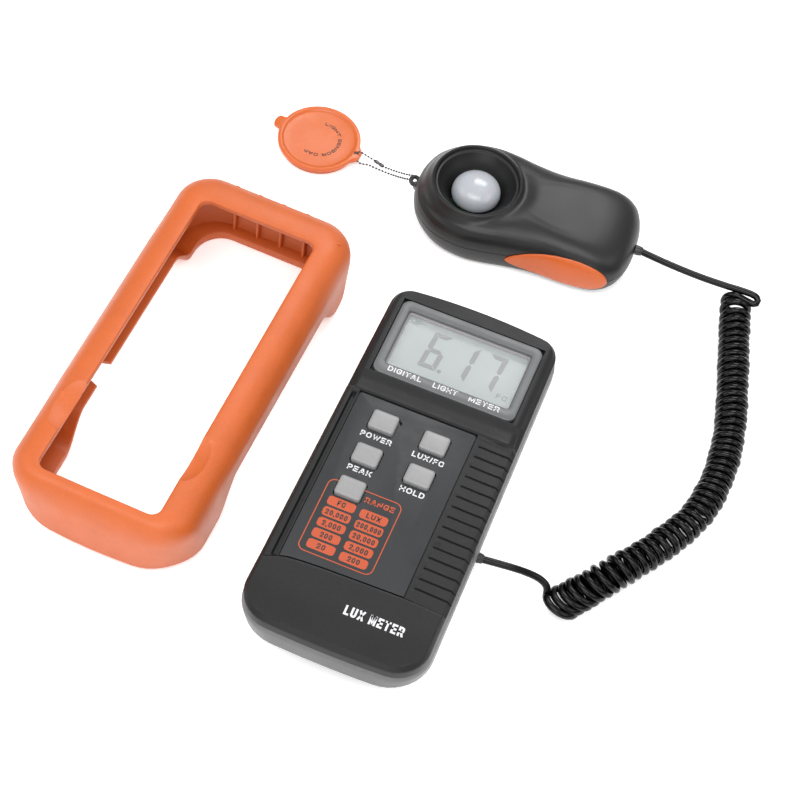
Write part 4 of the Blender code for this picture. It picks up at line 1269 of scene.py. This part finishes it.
CAP_XY = (-87.2, 137.2)
CAP_R = 15.6
CAP_TAB_AT = math.radians(176.0)
CAP_EAR_AT = math.radians(-5.0)
CAP_HOLE = (15.15, -0.8, 0.85)
CAP_SIDES = 180
PRINT_R = 7.1
PRINT_SPACING_R = 7.6
BALL_R = 0.44
BALL_STEP = 1.35
CHAIN_ROUTE = [(-69.6, 136.9, 4.7), (-70.9, 136.8, 4.7), (-71.9, 136.6, 3.9), (-72.1, 136.4, 2.6),
               (-71.8, 136.1, 1.4), (-70.9, 135.6, 0.8), (-69.2, 134.9, 0.8), (-66.5, 135.3, 1.2),
               (-63.7, 134.85, 1.5), (-57.8, 134.0, 2.2), (-52.9, 132.0, 5.0), (-49.2, 130.4, 7.6),
               (-47.4, 130.2, 8.6), (-46.7, 131.0, 9.3), (-47.6, 131.9, 8.9), (-49.5, 132.5, 7.6),
               (-53.2, 133.7, 5.5), (-58.0, 135.4, 3.2), (-61.3, 136.3, 2.3), (-65.2, 137.1, 2.9)]


def cap_outline(inset):
    """The cap's round outline with the pull tab on the left and the chain's ear on the right."""
    cx, cy = CAP_XY
    points = []
    for step in range(CAP_SIDES):
        angle = 2.0 * math.pi * step / CAP_SIDES
        x = math.cos(angle)
        y = math.sin(angle)
        reach = CAP_R - inset
        off = (angle - CAP_TAB_AT + math.pi) % (2.0 * math.pi) - math.pi
        across = reach * math.sin(off)
        if abs(off) < 0.6:
            reach += (3.0 - 0.6 * (across / 2.4) ** 2) * smooth01((2.9 - abs(across)) / 0.9)
        off = (angle - CAP_EAR_AT + math.pi) % (2.0 * math.pi) - math.pi
        if abs(off) < 0.8:
            reach += 1.7 * smooth01((0.30 - abs(off)) / 0.22)
        points.append((cx + x * reach, cy + y * reach))
    return points


def cap_piece():
    """The cap: a lipped disc with a pull tab and a pierced ear."""
    cx, cy = CAP_XY
    profile = [(12.95, 2.4), (12.95, 0.15), (13.1, 0.0), (14.15, 0.0), (14.3, 0.15), (14.35, 2.4)]
    rings = [at_height(circle(cx, cy, r, CAP_SIDES), z) for r, z in profile]
    plate = [(0.5, 2.5), (0.12, 2.58), (0.0, 2.75), (0.0, 3.5), (0.1, 3.75), (0.35, 3.86)]
    rings += [at_height(cap_outline(inset), z) for inset, z in plate]
    tops = [(0.75, 3.95), (1.1, 3.97), (1.5, 3.9), (1.9, 3.62), (2.25, 3.42), (2.7, 3.36), (5.0, 3.32),
            (9.0, 3.3), (13.0, 3.3)]
    rings += [at_height(circle(cx, cy, CAP_R - inset, CAP_SIDES), z) for inset, z in tops]
    made = piece("cap_disc", skin(rings), "cap_orange", "cap", ("cap",), 40.0)
    dx, dy, r = CAP_HOLE
    cut_away(made, [slab(circle(cx + dx, cy + dy, r, 32), -1.0, 8.0)])


def cap_print():
    """A generic word round the cap's face, letter tops outwards."""
    letters = lettering("LIGHT SENSOR CAP", (0.0, 27.5), 0.0, 1.3, 3.24, 3.36, 0.1)
    placed = []
    for x, y, z in letters[0]:
        placed.append((*polar(*CAP_XY, PRINT_R + y, math.radians(95.0) - x / PRINT_SPACING_R), z))
    piece("cap_letters", (placed, letters[1]), "cap_orange", "cap", (), 30.0, paint="print_dark")


def ball(centre, r, sides=10, rows=6):
    rings = []
    for j in range(1, rows):
        angle = math.pi * j / rows
        ring = []
        for i in range(sides):
            turn = 2.0 * math.pi * i / sides
            wide = math.sin(angle)
            out = Vector((math.cos(turn) * wide, math.sin(turn) * wide, -math.cos(angle)))
            ring.append(Vector(centre) + out * r)
        rings.append(ring)
    low = Vector(centre) - Vector((0.0, 0.0, r))
    high = Vector(centre) + Vector((0.0, 0.0, r))
    verts, faces = skin(rings, capped=False)
    verts += [tuple(low), tuple(high)]
    last = (rows - 2) * sides
    for i in range(sides):
        n = (i + 1) % sides
        faces.append((i, n, len(verts) - 2))
        faces.append((last + i, last + n, len(verts) - 1))
    return verts, faces


def chain_piece():
    """The ball chain, a closed loop through the cap's ear and the eyelet, and the clasp that joins it."""
    loop = smooth_curve(CHAIN_ROUTE + CHAIN_ROUTE[:1], BALL_STEP)[:-1]
    parts = [ball(point, BALL_R) for point in loop]
    closed = loop + loop[:1]
    parts += [skin(tube_rings([a, b], 0.12, 6)) for a, b in zip(closed, closed[1:])]
    piece("bead_chain", merged(*parts), "chain_steel", "cap", ("ball_chain",), 60.0)
    start = Vector((-64.6, 137.1, 2.7))
    end = Vector((-60.5, 136.1, 2.4))
    line = [start.lerp(end, t) for t in (0.0, 0.06, 0.16, 0.3, 0.42, 0.5, 0.58, 0.7, 0.84, 0.94, 1.0)]
    sizes = [0.42, 0.62, 0.72, 0.72, 0.6, 0.52, 0.6, 0.72, 0.72, 0.62, 0.42]
    piece("chain_clasp", skin(tube_rings(line, sizes, 20)), "chain_steel", "cap", ("chain_connector",), 60.0)


# ---------------------------------------------------------------- holster

HOLSTER_XY = (-85.9, 16.0)
HOLSTER_TILT = math.radians(-1.7)
HOLSTER_SIZE = (67.0, 145.0)
HOLSTER_R = 13.5
HOLSTER_LIP = (-22.1, 21.5, -65.5, 57.0)
HOLSTER_ARCH = 13.0
# x, y, half width and half length of each thumb hollow
THUMB_RESTS = [(-22.0, -40.2, 13.0, 16.0), (21.0, -40.7, 10.0, 14.5)]
NEAR_BOW = 3.2
HOLLOW_TOP_Z = 36.0
HOLLOW_DEPTH = 8.0
HOLLOW_ROWS = 24
HOLLOW_SIDES = 64


def holster_place(x, y):
    """The boot's own axes to plan coordinates."""
    c = math.cos(HOLSTER_TILT)
    s = math.sin(HOLSTER_TILT)
    return (HOLSTER_XY[0] + x * c - y * s, HOLSTER_XY[1] + x * s + y * c)


def holster_ring(inset, z, lip=0.0, flange=False):
    """One loop of the boot: the outer outline drawn in by inset, or blended towards the lip's opening."""
    half_x = HOLSTER_SIZE[0] / 2
    half_y = HOLSTER_SIZE[1] / 2
    outer = (-half_x + inset, half_x - inset, -half_y + inset, half_y - inset)
    box = [a + (b - a) * lip for a, b in zip(outer, HOLSTER_LIP)]
    radius = (max(HOLSTER_R - inset, 3.0) + 5.0 * max(0.0, 1.0 - z / 22.0)) * (1.0 - lip) + 3.5 * lip
    ring = []
    for x, y in rounded_box(box, radius, 12, 84):
        low = 1.0 - min(z / 24.0, 1.0)
        along = max(0.0, min(1.0, (48.0 - abs(y - 4.0)) / 14.0))
        side = max(0.0, min(1.0, (abs(x) - 18.0) / 6.0))
        rise = HOLSTER_ARCH * low * along * along * (3 - 2 * along) * side
        if flange:
            x *= 1.0 - 0.085 * smooth01((inset - 3.2) / 3.0)
            if abs(x) > 19.0:
                gap = smooth01((y + 20.4) / 1.6) * smooth01((-10.6 - y) / 1.6)
                x += (math.copysign(half_x - 3.1, x) - x) * gap
        if y < 0.0:
            y += NEAR_BOW * (x / half_x) ** 2 * smooth01((-50.0 - y) / 20.0) * low ** 0.5
        ring.append((*holster_place(x, y), z + rise))
    return ring


def boot():
    """The rubber boot, its thumb hollows, the ribs inside its top wall and its moulding lines."""
    # inset from the outline, height, share of the way to the lip
    outside = [(4.6, 0.0, 0.0), (3.4, 0.08, 0.0), (2.2, 0.4, 0.0), (1.2, 1.1, 0.0), (0.5, 2.1, 0.0),
               (0.15, 3.2, 0.0), (0.06, 3.9, 0.0), (0.26, 4.02, 0.0), (0.26, 4.2, 0.0),
               (0.0, 4.32, 0.0), (0.0, 8.0, 0.0), (0.0, 12.0, 0.0), (0.0, 16.0, 0.0), (0.0, 19.0, 0.0),
               (0.0, 21.2, 0.012), (0.0, 23.2, 0.045), (0.0, 25.0, 0.1), (0.0, 26.6, 0.18),
               (0.0, 27.9, 0.28), (0.0, 28.9, 0.4), (0.0, 29.5, 0.53), (0.0, 29.85, 0.67),
               (0.0, 29.98, 0.8), (0.0, 30.0, 0.91), (0.0, 29.93, 0.965), (0.0, 29.75, 0.99),
               (0.0, 29.5, 1.0), (0.0, 27.9, 1.0), (0.0, 27.6, 0.985), (0.0, 27.4, 0.95),
               (0.0, 27.2, 0.75), (0.0, 26.6, 0.5)]
    rings = [holster_ring(inset, z, lip) for inset, z, lip in outside]
    rings += [holster_ring(inset, z) for inset, z in ((3.15, 25.4), (3.0, 23.5), (3.0, 14.0), (3.0, 5.4))]
    flange = [(3.5, 4.3), (6.6, 4.0), (7.3, 3.7), (7.5, 3.0), (7.5, 1.2), (7.3, 0.4), (6.6, 0.02)]
    rings += [holster_ring(inset, z, flange=True) for inset, z in flange]
    made = piece("boot", skin(rings, cyclic=True), "holster_orange", "holster", ("holster",), 40.0)
    tools = []
    for x, y, wide, long in THUMB_RESTS:
        rows = []
        turns = [2.0 * math.pi * i / HOLLOW_SIDES for i in range(HOLLOW_SIDES)]
        for k in range(1, HOLLOW_ROWS):
            angle = math.pi * k / HOLLOW_ROWS
            rows.append([(*holster_place(x + wide * math.sin(angle) * math.cos(turn),
                                         y + long * math.sin(angle) * math.sin(turn)),
                          HOLLOW_TOP_Z - HOLLOW_DEPTH * math.cos(angle)) for turn in turns])
        tools.append(skin(rows))
    cut_away(made, tools)
    ribs = []
    for x in (-14.6, -5.5, 3.6, 12.8):
        section = []
        for dx, y in ((-0.75, 69.7), (-0.55, 67.6), (-0.3, 67.3), (0.3, 67.3), (0.55, 67.6), (0.75, 69.7)):
            section.append(holster_place(x + dx, y))
        ribs.append(slab(section, 3.9, 27.0))
    piece("boot_ribs", merged(*ribs), "holster_orange", "holster", (), 30.0)
    marks = []
    for start, end, z in (((-27.6, 61.0), (-24.6, 60.2), 29.35), ((25.3, 60.4), (29.2, 61.6), 29.1),
                          ((21.9, -59.0), (26.8, -60.4), 29.6)):
        line = [Vector((*holster_place(*start), z)), Vector((*holster_place(*end), z - 0.5))]
        marks.append(skin(tube_rings([line[0].lerp(line[1], t / 6) for t in range(7)],
                                     [0.12, 0.3, 0.38, 0.4, 0.38, 0.3, 0.12], 10)))
    piece("boot_witness_lines", merged(*marks), "holster_orange", "holster", (), 40.0)


# ---------------------------------------------------------------- meter's back

SCREW_XY = [(-21.5, 28.0), (21.5, 28.0), (-21.5, -46.0), (21.5, -46.0)]
COVER_HALF_WIDTH = 15.2
COVER_Y = (-57.4, -7.5)


def rear_case():
    """The rear shell, with a doorway for the battery cover and a hole for each screw."""
    top = REAR_TOP_Z - 0.3
    foot = [(5.5, 13.5, 6.5, 0.0), (5.1, 13.1, 6.1, 0.12), (4.7, 12.6, 5.7, 0.45), (4.4, 12.1, 5.3, 0.9)]
    rings = [at_height(rear_outline(side, bottom, end, REAR_CORNER_MORE), z) for side, bottom, end, z in foot]
    rings += [rear_ring(z) for z in (1.5, 4.0, 7.0, 10.0, 13.0, 15.4, WAIST_Z, 17.8, 19.5, 21.5)]
    rings += [rear_ring(22.8, 0.15), rear_ring(top, 0.75), rear_ring(top, 2.75), rear_ring(WAIST_Z, 2.0),
              rear_ring(2.2, 2.0)]
    # the rear shell wears a lighter, lit copy of the case grey: painted light on its walls
    case = piece("rear_case", skin(rings), "case_grey", "meter", ("rear_shell",), 35.0, paint="rear_grey_painted_lit")
    doorway = (-COVER_HALF_WIDTH - 0.3, COVER_HALF_WIDTH + 0.3, -80.0, COVER_Y[1] + 0.3)
    corners = [(doorway[0], doorway[2]), (doorway[1], doorway[2]), (doorway[1], doorway[3]),
               (doorway[0], doorway[3])]
    tools = [slab(corners, -1.0, 2.3)]
    screw_hole = [(3.35, -1.0), (3.35, 0.02), (3.0, 0.35), (3.0, 2.05)]
    tools += [lathe(screw_hole, spot, 40) for spot in SCREW_XY]
    cut_away(case, tools)


sensor_top()
sensor_base()
light_trap()
diffuser()
side_grip("grip_near", 1.0, "side_grip_near")
side_grip("grip_far", -1.0, "side_grip_far")
small_fittings()
cap_piece()
cap_print()
chain_piece()
boot()
rear_case()

# ---------------------------------------------------------------- stage and light


AIM = (0.0, 0.03, 0.0)
WHITE = (1.0, 1.0, 1.0, 1.0)


def stage():
    """A pale floor just under the object."""
    bm = bmesh.new()
    bmesh.ops.create_grid(bm, x_segments=2, y_segments=2, size=3.0)
    mesh = bpy.data.meshes.new("floor")
    bm.to_mesh(mesh)
    bm.free()
    floor = bpy.data.objects.new("floor", mesh)
    floor.location.z = -0.0002
    paint = bpy.data.materials.new("floor")
    paint.use_nodes = True
    shader = paint.node_tree.nodes["Principled BSDF"]
    for name, value in (("Base Color", (0.93, 0.93, 0.93, 1.0)), ("Roughness", 0.9),
                        ("Emission Color", WHITE), ("Emission Strength", 0.3), ("Specular IOR Level", 0.1)):
        shader.inputs[name].default_value = value
    mesh.materials.append(paint)
    bpy.context.scene.collection.objects.link(floor)


def softbox(name, place, aim, width, height, power):
    """A rectangular lamp, sizes and places in metres."""
    data = bpy.data.lights.new(name, "AREA")
    data.shape = "RECTANGLE"
    data.size = width
    data.size_y = height
    data.energy = power
    lamp = bpy.data.objects.new(name, data)
    lamp.location = place
    lamp.rotation_mode = "QUATERNION"
    lamp.rotation_quaternion = (Vector(aim) - Vector(place)).to_track_quat("-Z", "Y")
    bpy.context.scene.collection.objects.link(lamp)


def lights():
    """A world that brightens from the horizon up, and five soft lamps."""
    world = bpy.data.worlds.new("studio")
    bpy.context.scene.world = world
    world.use_nodes = True
    tree = world.node_tree
    background = tree.nodes["Background"]
    direction = tree.nodes.new("ShaderNodeTexCoord").outputs["Generated"]
    split = tree.nodes.new("ShaderNodeSeparateXYZ")
    tree.links.new(direction, split.inputs[0])
    fall = tree.nodes.new("ShaderNodeMapRange")
    for name, number in zip(RANGE_SOCKETS, (0.0, 0.7, 0.3, 0.85)):
        fall.inputs[name].default_value = number
    tree.links.new(split.outputs["Z"], fall.inputs["Value"])
    tree.links.new(fall.outputs["Result"], background.inputs["Strength"])
    background.inputs["Color"].default_value = WHITE
    softbox("overhead", (0.0, -0.50, 1.40), AIM, 1.3, 0.6, 14.0)
    softbox("left", (-0.90, -0.15, 0.75), AIM, 0.8, 0.6, 2.5)
    softbox("right", (0.90, 0.05, 0.75), AIM, 0.8, 0.6, 2.5)
    softbox("front", (0.05, -1.00, 0.35), AIM, 0.9, 0.4, 3.0)
    softbox("back", (-0.05, 1.15, 1.20), (0.0, 0.13, 0.0), 0.7, 0.45, 9.0)
    bpy.context.scene.view_settings.view_transform = "Standard"


stage()
lights()
